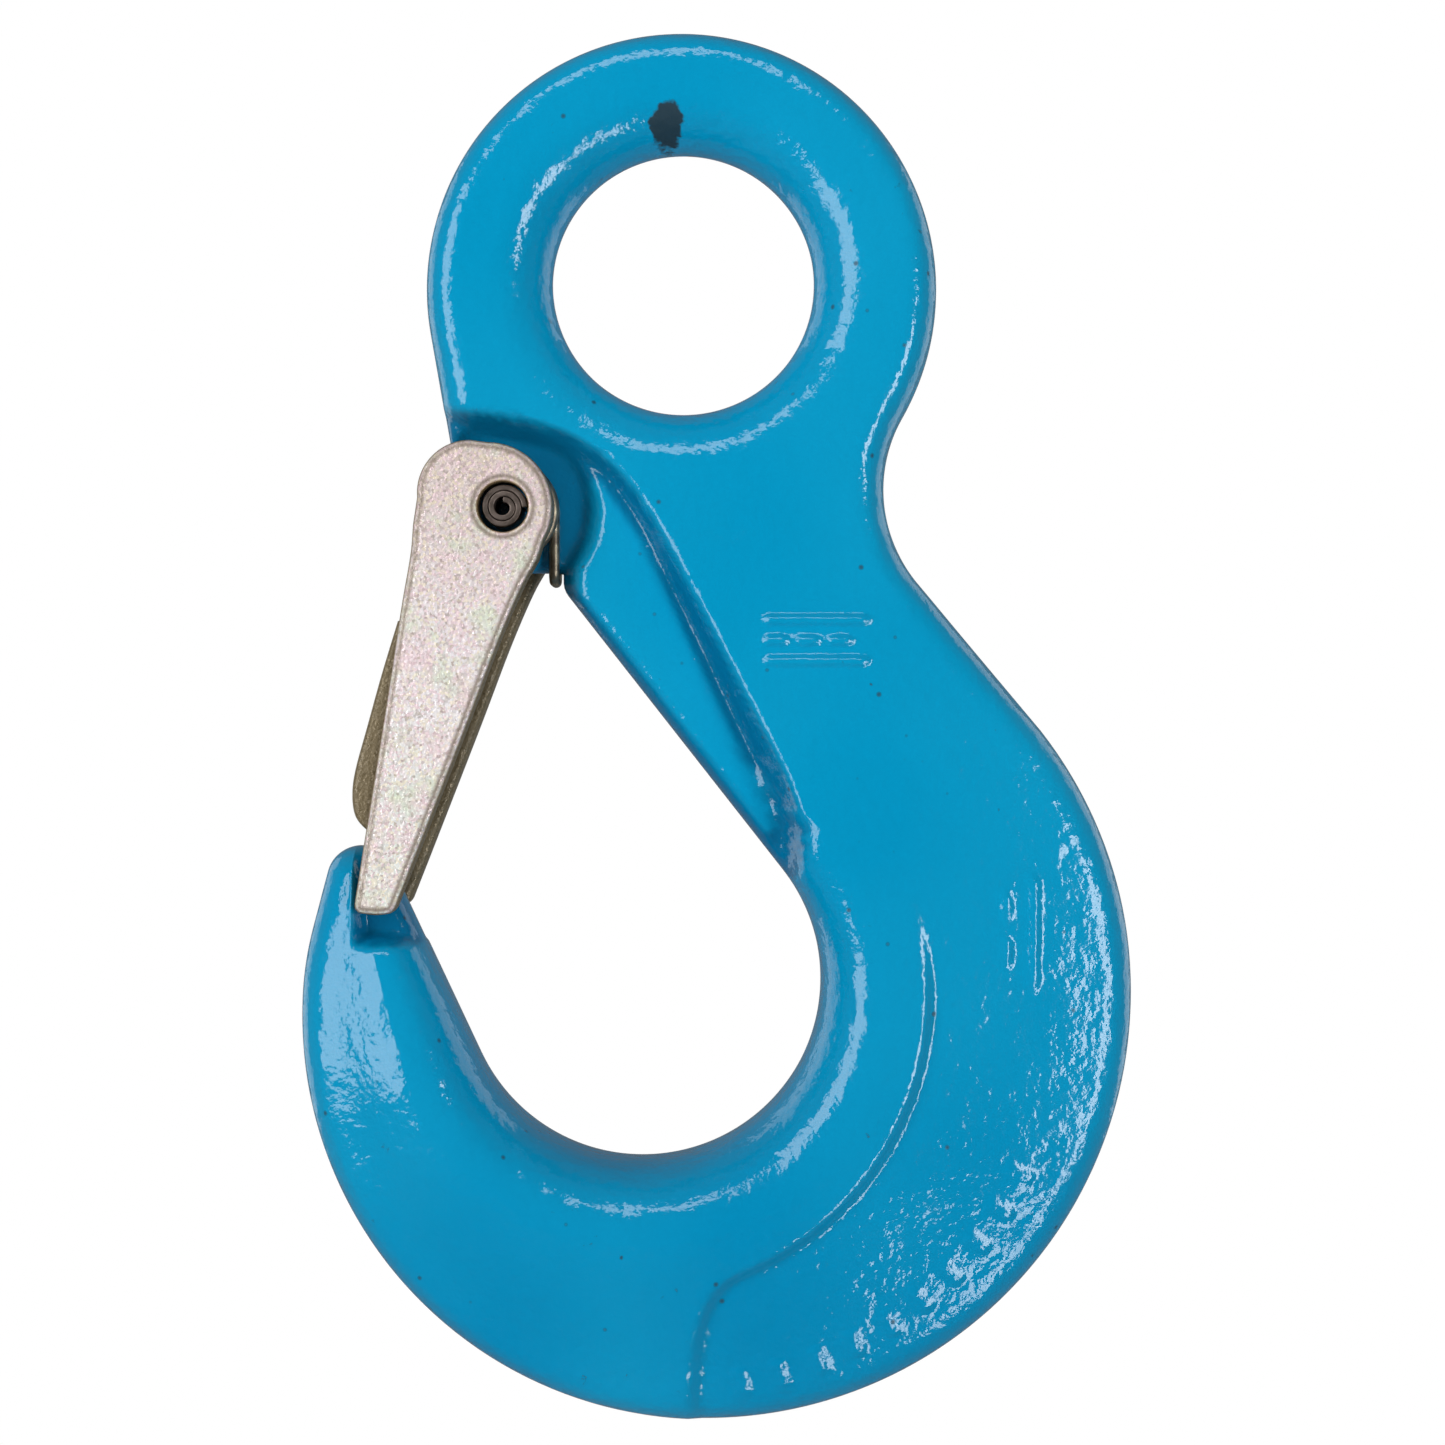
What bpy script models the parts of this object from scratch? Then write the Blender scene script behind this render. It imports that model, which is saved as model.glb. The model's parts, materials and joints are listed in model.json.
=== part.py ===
"""A forged eye hook with a sprung safety latch.

The origin is the centre of the eye's bore, whose axis runs along Y. The hook hangs down -Z and its
throat opens towards -X. Outlines lie in the X-Z plane. Lengths are in millimetres and angles in degrees
up to add_object(), which turns the finished meshes into metres.
"""

from math import acos, atan2, cos, degrees, hypot, radians, sin

import bmesh
import bpy
import numpy as np
from mathutils import Vector

MM = 0.001
MESH_GAP = 0.001
ROUND_OFF = 1e-9

# Eye and neck
BORE_R = 17.0
EYE = (-0.2, -1.05)
EYE_R = 33.05
BORE_REACH = 8.0
NECK_R = 19.0
NECK_ANGLE = -29.7
CUT_DOWN_LEFT = 0.35
CUT_DOWN_NECK = 0.2
BOW_STATIONS = (0.0, 0.45, 0.7, 1.0)
BOW = (8.0, 0.0, -3.0, 0.0)

# Shank: its lean below the horizontal, and its throat side's distance from the eye's centre
SHANK_LEAN = 51.9
THROAT_OFFSET = 36.8
SHANK_WIDTH = 37.5
SHOULDER_X = -15.6
SHOULDER_R = 3.0

# Bowl, arm and tip, each an arc with its centre (x, z)
BOWL_INNER = (-5.4, -90.5)
BOWL_INNER_R = 23.3
BOWL_OUTER = (3.0, -92.0)
BOTTOM_DROP = 2.7
ARM_SHIFT = 10.4
ARM_ANGLE = 177.25
TIP = (-42.0, -77.2)
TIP_R = 4.2

# Half thickness of the face along the band, from the eye's cut (0) past the shoulder (1), the throat's
# end (2) and the arm's start (3) to the tip (5), and how far in from each edge the face rounds off
STATIONS = (0.0, 0.1, 1.0, 2.0, 2.5, 3.0, 4.0, 5.0)
CREST_HALF = (8.0, 8.0, 9.2, 11.6, 12.95, 12.0, 8.6, 7.6)
OUTER_HALF = (8.0, 8.0, 8.9, 9.2, 9.4, 9.2, 8.2, 7.4)
INNER_REACH = (4.5, 4.5, 4.0, 7.0, 9.0, 8.0, 4.2, 4.0)
OUTER_REACH = 4.5
EDGE_POWER = 2.5
BORE_POWER = 2.2

# Pivot, with the lobe of the web round it
PIN = (-22.7, -29.7)
PIN_R = 3.05
PIN_BORE_R = 1.35
PIN_HALF = 9.0
PIN_TURNS = 2.25
PIN_GAP = 0.06
WEB_HOLE_R = 3.35
LOBE = (-22.3, -31.6)
LOBE_R = 6.0

# Recess for the latch on both faces, its round pocket for the spring, and the notch in the tip
WEB_HALF = 4.8
POCKET_R = 10.3
POCKET_HALF = 1.9
BOSS_R = 5.0
NOTCH_HALF = 4.7
NOTCH_LEFT = -42.1
NOTCH_STEP = -85.6
WALL_TOP = (
    (-36.0, -16.2), (-23.1, -17.7), (-16.7, -19.4), (-11.5, -21.8), (-6.0, -26.9), (-2.4, -33.4),
    (4.6, -46.1), (10.3, -58.2), (14.7, -66.9), (15.6, -69.9), (15.1, -72.4), (13.4, -74.2), (10.5, -75.4),
    (7.0, -76.2),
)

# Latch
LATCH_HEAD = (-24.6, -29.7)
LATCH_HEAD_R = 8.2
LATCH_CORNER = (-26.9, -27.9)
LATCH_CORNER_R = 6.7
LATCH_HOLE_R = 3.55
LATCH_HALF = 10.0
CHEEK_INNER = 5.65
CHEEK_BEVEL = 1.2
LATCH_LEFT = ((-34.1, -32.0), (-34.4, -35.6), (-35.4, -41.4), (-41.5, -80.1))
LATCH_TOE = ((-40.7, -81.3), (-36.4, -81.3))
LATCH_RIGHT = ((-33.8, -74.5), (-27.3, -57.8), (-23.2, -47.0), (-20.1, -40.0), (-18.3, -36.8))
HUMP = ((-36.1, -44.1), (-38.4, -51.7), (-40.0, -57.5), (-41.6, -63.3), (-41.9, -66.2), (-41.4, -69.1))
HUMP_END = ((-39.8, -70.8), (-38.5, -70.2))
BRIDGE_HALF = 9.1
BRIDGE_WALL = 2.8
BRIDGE_LENGTH = 29.4

# Spring
WIRE_R = 0.7
COIL_R = 6.05
COIL_PITCH = 1.43
COIL_POINTS = 31
COIL_INNER_Y = 2.7
LOOP_Z = -38.7
LOOP_BEND = 1.5
LEG_START = 168.5
LEG_LENGTH = 19.0

PAINT_BLUE = (0.003, 0.32, 0.57)
ZINC_YELLOW = (0.70, 0.58, 0.44)
SPRING_STEEL = (0.42, 0.40, 0.36)
DARK_STEEL = (0.10, 0.085, 0.075)


def polar(centre, radius, angle):
    """The point at an angle on a circle in the X-Z plane."""
    return np.array([centre[0] + radius * cos(radians(angle)), centre[1] + radius * sin(radians(angle))])


def arc(centre, radius, start, end, step=4.0):
    """Points along a circle's arc from one angle to another."""
    count = max(2, int(abs(end - start) / step) + 1)
    turn = np.radians(np.linspace(start, end, count))
    return np.column_stack([centre[0] + radius * np.cos(turn), centre[1] + radius * np.sin(turn)])


def angle_and_distance(start, end):
    dx, dz = end[0] - start[0], end[1] - start[1]
    return degrees(atan2(dz, dx)), hypot(dx, dz)


def resample(path, count):
    """Evenly spaced points along a polyline."""
    path = np.asarray(path, float)
    along = np.concatenate([[0.0], np.cumsum(np.hypot(*np.diff(path, axis=0).T))])
    at = np.linspace(0.0, along[-1], count)
    return np.column_stack([np.interp(at, along, path[:, 0]), np.interp(at, along, path[:, 1])])


def split(path, share):
    """A polyline cut in two at a share of its length."""
    dense = resample(path, 201)
    at = int(round(share * 200))
    return dense[: at + 1], dense[at:]


def distance_to(points, path):
    """Distance from each point to a polyline."""
    a, b = path[:-1], path[1:]
    run = b - a
    length_squared = np.maximum((run**2).sum(1), 1e-12)
    offset = points[:, None, :] - a[None]
    share = np.clip((offset * run[None]).sum(2) / length_squared[None], 0.0, 1.0)
    return np.sqrt(((offset - share[..., None] * run[None]) ** 2).sum(2)).min(1)


class Outline:
    """The hook's outline as two edges of a band, each in five spans, and the free edge of the eye."""

    def __init__(self):
        lean = radians(SHANK_LEAN)
        normal = np.array([sin(lean), cos(lean)])
        normal_angle = 90.0 - SHANK_LEAN
        shank_offset = SHANK_WIDTH - THROAT_OFFSET
        neck = polar(EYE, EYE_R + NECK_R, NECK_ANGLE)
        neck_line_angle = normal_angle + 180.0
        outer_r = shank_offset - normal @ np.array(BOWL_OUTER)
        bottom = (BOWL_OUTER[0], BOWL_OUTER[1] - BOTTOM_DROP)
        bottom_r = outer_r - BOTTOM_DROP
        arm = polar(bottom, ARM_SHIFT, ARM_ANGLE)
        arm_r = bottom_r - ARM_SHIFT

        to_tip, tip_distance = angle_and_distance(arm, TIP)
        tip_start = to_tip + degrees(acos((arm_r - TIP_R) / tip_distance))
        to_bowl, bowl_distance = angle_and_distance(TIP, BOWL_INNER)
        tip_end = to_bowl + degrees(acos((TIP_R + BOWL_INNER_R) / bowl_distance))
        apex = (tip_start + tip_end) / 2

        to_lobe, lobe_distance = angle_and_distance(EYE, LOBE)
        left_angle = to_lobe % 360 - degrees(acos((EYE_R - LOBE_R) / lobe_distance))
        shoulder_x = SHOULDER_X + SHOULDER_R
        shoulder_z = (SHOULDER_R - THROAT_OFFSET - normal[0] * shoulder_x) / normal[1]
        shoulder = (shoulder_x, shoulder_z)
        lobe_floor = LOBE[1] - LOBE_R

        left_line = [polar(EYE, EYE_R, left_angle), polar(LOBE, LOBE_R, left_angle)]
        left_top, left_rest = split(left_line, CUT_DOWN_LEFT)
        neck_top, neck_rest = split(arc(neck, NECK_R, 180.0 + NECK_ANGLE, neck_line_angle), CUT_DOWN_NECK)
        self.crown = np.vstack([neck_top[::-1], arc(EYE, EYE_R, NECK_ANGLE, left_angle), left_top])

        shank_top = polar(neck, NECK_R, neck_line_angle)
        shank_end = polar(BOWL_OUTER, outer_r, normal_angle)
        round_outside = np.vstack([
            [shank_top, shank_end],
            arc(BOWL_OUTER, outer_r, normal_angle, -90.0),
            arc(bottom, bottom_r, -90.0, ARM_ANGLE - 360.0),
            arc(arm, arm_r, ARM_ANGLE, tip_start),
            [polar(TIP, TIP_R, tip_start)],
        ])
        outside = resample(round_outside, 1200)
        seen = np.degrees(np.unwrap(np.arctan2(outside[:, 1] - BOWL_INNER[1], outside[:, 0] - BOWL_INNER[0])))
        at_throat = int(np.argmin(np.abs(seen - normal_angle)))
        bowl_end = tip_end - 180.0
        at_arm = int(np.argmin(np.abs(seen - bowl_end)))
        at_shoulder = at_throat // 5

        self.inner = [
            np.vstack([left_rest, arc(LOBE, LOBE_R, left_angle, 270.0), [(SHOULDER_X, lobe_floor)],
                       arc(shoulder, SHOULDER_R, 180.0, neck_line_angle, 12.0)]),
            np.vstack([polar(shoulder, SHOULDER_R, neck_line_angle),
                       polar(BOWL_INNER, BOWL_INNER_R, normal_angle)]),
            arc(BOWL_INNER, BOWL_INNER_R, normal_angle, bowl_end),
            np.vstack([polar(BOWL_INNER, BOWL_INNER_R, bowl_end), polar(TIP, TIP_R, tip_end)]),
            arc(TIP, TIP_R, tip_end, apex),
        ]
        self.outer = [
            np.vstack([neck_rest, outside[: at_shoulder + 1]]),
            outside[at_shoulder: at_throat + 1],
            outside[at_throat: at_arm + 1],
            outside[at_arm:],
            arc(TIP, TIP_R, tip_start, apex),
        ]

    def rows(self, counts):
        """Matching points on the two edges, and each row's station along the band."""
        ins, outs, station = [], [], []
        for k, count in enumerate(counts):
            a, b = resample(self.inner[k], count + 1), resample(self.outer[k], count + 1)
            keep = slice(0, None) if k == len(counts) - 1 else slice(0, -1)
            ins.append(a[keep])
            outs.append(b[keep])
            station.append(np.linspace(k, k + 1, count + 1)[keep])
        return np.vstack(ins), np.vstack(outs), np.concatenate(station)


def smooth(at, stations, values):
    """A curve through values at stations, with no kink where two spans meet."""
    x, y = np.asarray(stations), np.asarray(values)
    slope = np.gradient(y, x)
    k = np.clip(np.searchsorted(x, at, side="right") - 1, 0, len(x) - 2)
    gap = x[k + 1] - x[k]
    t = (at - x[k]) / gap
    start = (1.0 + 2.0 * t) * y[k] + t * gap * slope[k]
    end = (3.0 - 2.0 * t) * y[k + 1] + (t - 1.0) * gap * slope[k + 1]
    return (1.0 - t) ** 2 * start + t**2 * end


def edge_share(depth, reach, power=EDGE_POWER):
    """How much of the half thickness is left at a depth in from the edge: a superellipse's quarter."""
    outward = np.clip(1.0 - np.maximum(depth - ROUND_OFF, 0.0) / reach, 0.0, 1.0)
    return (1.0 - outward**power) ** (1.0 / power)


def edge_depths(cells, power=EDGE_POWER):
    """Depths, as shares of the reach, that step evenly round a superellipse's quarter."""
    height = np.sin(np.linspace(0.0, np.pi / 2, cells + 1))
    return 1.0 - (1.0 - height**power) ** (1.0 / power)


def between_edges(first, last, cells):
    """Shares of the way across, from the rounded edges' own shares and even steps between them."""
    middle = np.linspace(0.0, 1.0, cells + 1)[1:-1]
    return np.hstack([first, first[:, -1:] + (last[:, :1] - first[:, -1:]) * middle, last])


def band_points(rows, edge_cells, mid_cells):
    """Points (x, z) across the band, from the eye's cut to the tip, and each one's station."""
    inner, outer, station = rows
    chord = outer - inner
    width = np.maximum(np.hypot(*chord.T), MESH_GAP)
    reach_in = np.minimum(smooth(station, STATIONS, INNER_REACH), 0.45 * width)
    reach_out = np.minimum(OUTER_REACH, 0.45 * width)
    first = (reach_in / width)[:, None] * edge_depths(edge_cells)
    last = 1.0 - (reach_out / width)[:, None] * edge_depths(edge_cells)[::-1]
    share = between_edges(first, last, mid_cells)
    sag = smooth(np.minimum(station, 1.0), BOW_STATIONS, BOW)
    across = np.column_stack([chord[:, 1], -chord[:, 0]]) / width[:, None]
    bow = (4.0 * share * (1.0 - share) * sag[:, None])[..., None] * across[:, None, :]
    flat = inner[:, None, :] + share[..., None] * chord[:, None, :] + bow
    return flat, np.repeat(station[:, None], share.shape[1], axis=1)


def spoke_points(rim, edge_cells, mid_cells):
    """Points (x, z) along lines from the bore out to a rim, and their station, which is 0."""
    spoke = np.arctan2(rim[:, 1], rim[:, 0])
    bore = np.column_stack([np.cos(spoke), np.sin(spoke)]) * BORE_R
    room = np.hypot(*(rim - bore).T)[:, None]
    first = np.minimum(BORE_REACH, 0.6 * room) * edge_depths(edge_cells, BORE_POWER) / room
    last = 1.0 - np.minimum(OUTER_REACH, 0.3 * room) * edge_depths(edge_cells)[::-1] / room
    flat = bore[:, None, :] + between_edges(first, last, mid_cells)[..., None] * (rim - bore)[:, None, :]
    return flat, np.zeros(flat.shape[:2])


def half_thickness(points, station, edges):
    """The face's height over the parting plane: a crest by the throat falls to the outer side, and every
    edge rounds off to nothing."""
    throat, outside, crown = (distance_to(points, edge) for edge in edges)
    nearest = np.minimum(np.minimum(throat, outside), crown)
    crest, far = smooth(station, STATIONS, CREST_HALF), smooth(station, STATIONS, OUTER_HALF)
    reach = smooth(station, STATIONS, INNER_REACH)
    fall = np.clip((throat - reach) / np.maximum(throat + outside - reach - OUTER_REACH, 1.0), 0.0, 1.0)
    room = 0.5 * np.maximum(throat + outside, 2.0 * TIP_R)
    reach = np.minimum(np.where(throat <= nearest, reach, OUTER_REACH), room)
    half = (crest + (far - crest) * fall) * edge_share(nearest, reach)
    return half * edge_share(np.hypot(*points.T) - BORE_R, BORE_REACH, BORE_POWER)


def add_grid(bm, grid):
    """Adds a grid of points to a bmesh as quads."""
    rows, columns = grid.shape[:2]
    verts = [bm.verts.new(p) for p in grid.reshape(-1, 3)]
    for i in range(rows - 1):
        for j in range(columns - 1):
            a = i * columns + j
            bm.faces.new((verts[a], verts[a + 1], verts[a + columns + 1], verts[a + columns]))


def forging_mesh():
    """The hook as forged, before anything is cut: its front and back faces, joined on the parting plane."""
    outline = Outline()
    rows = outline.rows((10, 9, 26, 6, 4))
    crown = resample(outline.crown, 35)
    edges = (rows[0], rows[1], crown)
    band, station = band_points(rows, 4, 7)
    bm = bmesh.new()
    for flat, along in ((band, station), spoke_points(crown, 4, 4), spoke_points(band[0], 4, 4)):
        points = flat.reshape(-1, 2)
        half = half_thickness(points, along.ravel(), edges)
        for side in (-1.0, 1.0):
            grid = np.column_stack([points[:, 0], side * half, points[:, 1]])
            add_grid(bm, grid.reshape(*flat.shape[:2], 3))
    bmesh.ops.remove_doubles(bm, verts=bm.verts, dist=MESH_GAP)
    bmesh.ops.dissolve_degenerate(bm, dist=MESH_GAP, edges=bm.edges)
    bmesh.ops.recalc_face_normals(bm, faces=bm.faces)
    return bm


def prism(outline, low, high):
    """A closed prism between two heights along Y, over an outline in the X-Z plane."""
    bm = bmesh.new()
    ring = [bm.verts.new((x, low, z)) for x, z in outline]
    face = bm.faces.new(ring)
    top = bmesh.ops.extrude_face_region(bm, geom=[face])["geom"]
    raised = [v for v in top if isinstance(v, bmesh.types.BMVert)]
    bmesh.ops.translate(bm, vec=(0, high - low, 0), verts=raised)
    bmesh.ops.recalc_face_normals(bm, faces=bm.faces)
    return bm


def circle(centre, radius, sides=32):
    return arc(centre, radius, 0.0, 360.0, 360.0 / sides)[:-1]


def add_object(name, bm, material=None, origin=(0.0, 0.0)):
    """A new object from a bmesh in millimetres, with its origin at a point (x, z) of the X-Z plane."""
    place = Vector((origin[0], 0.0, origin[1]))
    bmesh.ops.translate(bm, vec=-place, verts=bm.verts)
    bmesh.ops.scale(bm, vec=(MM, MM, MM), verts=bm.verts)
    mesh = bpy.data.meshes.new(name)
    bm.to_mesh(mesh)
    bm.free()
    thing = bpy.data.objects.new(name, mesh)
    thing.location = place * MM
    bpy.context.scene.collection.objects.link(thing)
    if material:
        mesh.materials.append(material)
        mesh.shade_smooth()
        mesh.set_sharp_from_angle(angle=radians(35.0))
    return thing


def boolean(thing, name, bm, operation="DIFFERENCE"):
    """Cuts a shape from an object, or joins it on, as a live modifier."""
    tool = add_object(name, bm)
    tool.hide_render = True
    tool.display_type = "WIRE"
    step = thing.modifiers.new(name, "BOOLEAN")
    step.operation = operation
    step.solver = "EXACT"
    step.object = tool


def paint(name, colour, roughness, metallic):
    material = bpy.data.materials.new(name)
    material.use_nodes = True
    shader = material.node_tree.nodes["Principled BSDF"]
    shader.inputs["Base Color"].default_value = (*colour, 1.0)
    shader.inputs["Roughness"].default_value = roughness
    shader.inputs["Metallic"].default_value = metallic
    return material


def recess_outline():
    """The recess: under the wall line, and open past the throat side and the lobe."""
    return [*WALL_TOP, (-22.0, -44.0), (-40.0, -42.0)]


def ring(centre, outer, inner, low, high):
    """A closed ring of square section about an axis along Y."""
    bm = bmesh.new()
    loops = [[bm.verts.new((x, y, z)) for x, z in circle(centre, r)]
             for r, y in ((outer, low), (outer, high), (inner, high), (inner, low))]
    count = len(loops[0])
    for a, b in zip(loops, loops[1:] + loops[:1]):
        for k in range(count):
            n = (k + 1) % count
            bm.faces.new((a[k], a[n], b[n], b[k]))
    bmesh.ops.recalc_face_normals(bm, faces=bm.faces)
    return bm


def hook_body(material):
    """The forged hook: eye, shank, bowl and tip, with the recess, pocket, pin hole and notch cut in."""
    hook = add_object("hook_body", forging_mesh(), material)
    notch = [(NOTCH_LEFT, -60.0), (NOTCH_LEFT, NOTCH_STEP), (-20.0, NOTCH_STEP), (-20.0, -60.0)]
    slot_left = PIN[0] + BOSS_R
    slot = [(slot_left, PIN[1]), (slot_left, LOOP_Z - 3.0), (SHOULDER_X, LOOP_Z - 3.0), (SHOULDER_X, PIN[1])]
    for side, word in ((-1, "front"), (1, "back")):
        boolean(hook, f"recess_{word}", prism(recess_outline(), *sorted((side * WEB_HALF, side * 16.0))))
        floor = sorted((side * POCKET_HALF, side * 17.0))
        boolean(hook, f"pocket_{word}", ring(PIN, POCKET_R, BOSS_R, *floor))
        boolean(hook, f"spring_slot_{word}", prism(slot, *sorted((side * POCKET_HALF, side * 18.0))))
        boolean(hook, f"notch_{word}", prism(notch, *sorted((side * NOTCH_HALF, side * 16.0))))
    boolean(hook, "pin_hole", prism(circle(PIN, WEB_HOLE_R), -20.0, 20.0))
    return hook


def latch_outline():
    """A cheek of the latch seen from the side, from the head down the left edge and back up the right."""
    head = arc(LATCH_HEAD, LATCH_HEAD_R, -30.0, 90.0, 15.0)
    corner = arc(LATCH_CORNER, LATCH_CORNER_R, 90.0, 185.0, 15.0)
    return [*head, *corner, *LATCH_LEFT, *LATCH_TOE, *LATCH_RIGHT]


def bridge_outline():
    """The wall that joins the cheeks: the thumb hump outside, and its even thickness inside."""
    outside = np.array(HUMP)
    left_a, left_b = np.array(LATCH_LEFT[-2]), np.array(LATCH_LEFT[-1])
    run = (left_b - left_a) / np.hypot(*(left_b - left_a))
    to_right = np.array([-run[1], run[0]])
    inside_top = outside[0] + to_right * BRIDGE_WALL
    inside_low = left_a + run * BRIDGE_LENGTH + to_right * (BRIDGE_WALL - 0.5)
    return [*HUMP, *HUMP_END, tuple(inside_low), tuple(inside_top)]


def latch(material):
    """The latch: two cheeks joined by the bridge, with a hole for the pin."""
    cheek = prism(latch_outline(), -LATCH_HALF, -CHEEK_INNER)
    body = add_object("latch", cheek, material, PIN)
    soften(body)
    other = add_object("latch_back_cheek", prism(latch_outline(), CHEEK_INNER, LATCH_HALF))
    soften(other)
    other.hide_render = True
    other.display_type = "WIRE"
    bridge = add_object("latch_bridge", prism(bridge_outline(), -BRIDGE_HALF, BRIDGE_HALF))
    bridge.hide_render = True
    bridge.display_type = "WIRE"
    soften(bridge)
    for tool in (bridge, other):
        step = body.modifiers.new(tool.name, "BOOLEAN")
        step.operation = "UNION"
        step.solver = "EXACT"
        step.object = tool
    boolean(body, "latch_pin_hole", prism(circle(PIN, LATCH_HOLE_R), -20.0, 20.0))
    return body


def soften(thing):
    """Rounds the rims of a plate."""
    rim = thing.modifiers.new("rims", "BEVEL")
    rim.width = CHEEK_BEVEL * MM
    rim.segments = 2
    rim.limit_method = "ANGLE"
    rim.angle_limit = radians(60.0)


def spring_line():
    """Centreline of the double spring from the front leg's end to the back leg's end."""
    heading = np.array([-sin(radians(LEG_START)), cos(radians(LEG_START))])
    start = polar(PIN, COIL_R, LEG_START)
    turns = 1.0 + LEG_START / 360.0
    outer_y = COIL_INNER_Y + COIL_PITCH * turns
    leg = [(*(start + heading * reach), outer_y) for reach in np.linspace(LEG_LENGTH, 1.0, 5)]
    share = np.linspace(0.0, 1.0, COIL_POINTS)
    coil = [(*polar(PIN, COIL_R, LEG_START - 360.0 * turns * s), outer_y - COIL_PITCH * turns * s)
            for s in share]
    side = PIN[0] + COIL_R
    down = [(side, z, COIL_INNER_Y) for z in np.linspace(PIN[1] - 2.0, LOOP_Z + LOOP_BEND, 3)]
    bend = [(side, LOOP_Z + LOOP_BEND * (1.0 - sin(a)), COIL_INNER_Y - LOOP_BEND * (1.0 - cos(a)))
            for a in np.radians((22.5, 45.0, 67.5, 90.0))]
    half = [(x, -y, z) for x, z, y in [*leg, *coil]] + [(x, -y, z) for x, z, y in [*down, *bend]]
    return half + [(x, -y, z) for x, y, z in half[::-1]]


def latch_spring(material):
    """The double torsion spring, a round wire swept along its line."""
    curve = bpy.data.curves.new("latch_spring", "CURVE")
    curve.dimensions = "3D"
    curve.bevel_depth = WIRE_R * MM
    curve.bevel_resolution = 1
    curve.use_fill_caps = True
    spline = curve.splines.new("POLY")
    points = spring_line()
    spline.points.add(len(points) - 1)
    for slot, (x, y, z) in zip(spline.points, points):
        slot.co = ((x - PIN[0]) * MM, y * MM, (z - PIN[1]) * MM, 1.0)
    curve.materials.append(material)
    thing = bpy.data.objects.new("latch_spring", curve)
    thing.location = Vector((PIN[0], 0.0, PIN[1])) * MM
    bpy.context.scene.collection.objects.link(thing)
    return thing


def pivot_pin(material):
    """The coiled spring pin: a strip wound on itself, open along its whole length."""
    steps = int(PIN_TURNS * 24)
    turn = np.linspace(0.0, PIN_TURNS * 2 * np.pi, steps + 1)
    wall = (PIN_R - PIN_BORE_R) / PIN_TURNS
    outer = PIN_R - wall * turn / (2 * np.pi)
    strip = wall - PIN_GAP
    rim = [(PIN[0] + r * cos(a), PIN[1] + r * sin(a)) for r, a in zip(outer, turn)]
    bore = [(PIN[0] + (r - strip) * cos(a), PIN[1] + (r - strip) * sin(a)) for r, a in zip(outer, turn)]
    return add_object("pivot_pin", prism(rim + bore[::-1], -PIN_HALF, PIN_HALF), material, PIN)


def main():
    for thing in list(bpy.data.objects):
        bpy.data.objects.remove(thing)
    hook_body(paint("hook_paint", PAINT_BLUE, 0.25, 0.0))
    latch(paint("latch_zinc", ZINC_YELLOW, 0.35, 1.0))
    latch_spring(paint("spring_steel", SPRING_STEEL, 0.4, 1.0))
    pivot_pin(paint("pin_steel", DARK_STEEL, 0.45, 1.0))


main()
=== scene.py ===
"""Finish surfaces for a forged eye hook with a sprung safety latch.

Each operator makes one piece of the hook, with its finish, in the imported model's frame: +Z up, the eye's
bore along Y, and the bore's centre at the origin. Outlines are in millimetres in the X-Z plane, and a
piece is turned into metres when its mesh is made.
"""

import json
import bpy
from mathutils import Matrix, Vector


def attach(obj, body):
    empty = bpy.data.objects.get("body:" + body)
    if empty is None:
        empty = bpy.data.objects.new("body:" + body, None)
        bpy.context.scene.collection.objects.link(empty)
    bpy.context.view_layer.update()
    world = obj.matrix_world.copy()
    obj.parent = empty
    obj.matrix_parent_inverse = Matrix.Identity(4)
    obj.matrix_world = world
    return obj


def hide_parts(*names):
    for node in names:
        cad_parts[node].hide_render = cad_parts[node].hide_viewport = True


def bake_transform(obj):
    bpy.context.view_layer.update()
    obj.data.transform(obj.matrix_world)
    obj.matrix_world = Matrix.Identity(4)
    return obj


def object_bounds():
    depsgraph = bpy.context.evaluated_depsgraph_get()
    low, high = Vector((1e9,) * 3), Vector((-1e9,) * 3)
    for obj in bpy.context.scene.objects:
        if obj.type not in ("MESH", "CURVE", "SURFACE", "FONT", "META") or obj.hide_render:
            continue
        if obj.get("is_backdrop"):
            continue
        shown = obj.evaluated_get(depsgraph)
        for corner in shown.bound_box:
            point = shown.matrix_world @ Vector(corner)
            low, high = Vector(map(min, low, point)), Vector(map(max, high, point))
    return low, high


bl_info = {
    "name": "Eye Hook Finish",
    "version": (1, 0, 0),
    "blender": (4, 5, 0),
    "location": "View3D > Sidebar > Eye Hook",
    "description": "Makes the forged body, latch, spring and pin of an eye hook, with their finishes",
    "category": "Object",
}

from math import acos, atan2, cos, degrees, hypot, radians, sin

import bmesh
import bpy
import numpy as np
from bpy.props import FloatProperty, FloatVectorProperty, PointerProperty
from mathutils import Vector

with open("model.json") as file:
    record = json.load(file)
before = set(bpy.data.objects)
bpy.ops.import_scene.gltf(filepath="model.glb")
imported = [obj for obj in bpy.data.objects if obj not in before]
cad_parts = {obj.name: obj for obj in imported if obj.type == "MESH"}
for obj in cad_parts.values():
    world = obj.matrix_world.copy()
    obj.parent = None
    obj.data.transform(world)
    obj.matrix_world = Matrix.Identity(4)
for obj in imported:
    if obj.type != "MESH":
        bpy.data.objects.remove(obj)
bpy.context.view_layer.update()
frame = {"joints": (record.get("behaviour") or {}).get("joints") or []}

MM = 0.001
WELD_GAP = 1.5e-6
HINGE = frame["joints"][0]["pos_m"]
PIN = (HINGE[0] / MM, HINGE[2] / MM)

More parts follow.
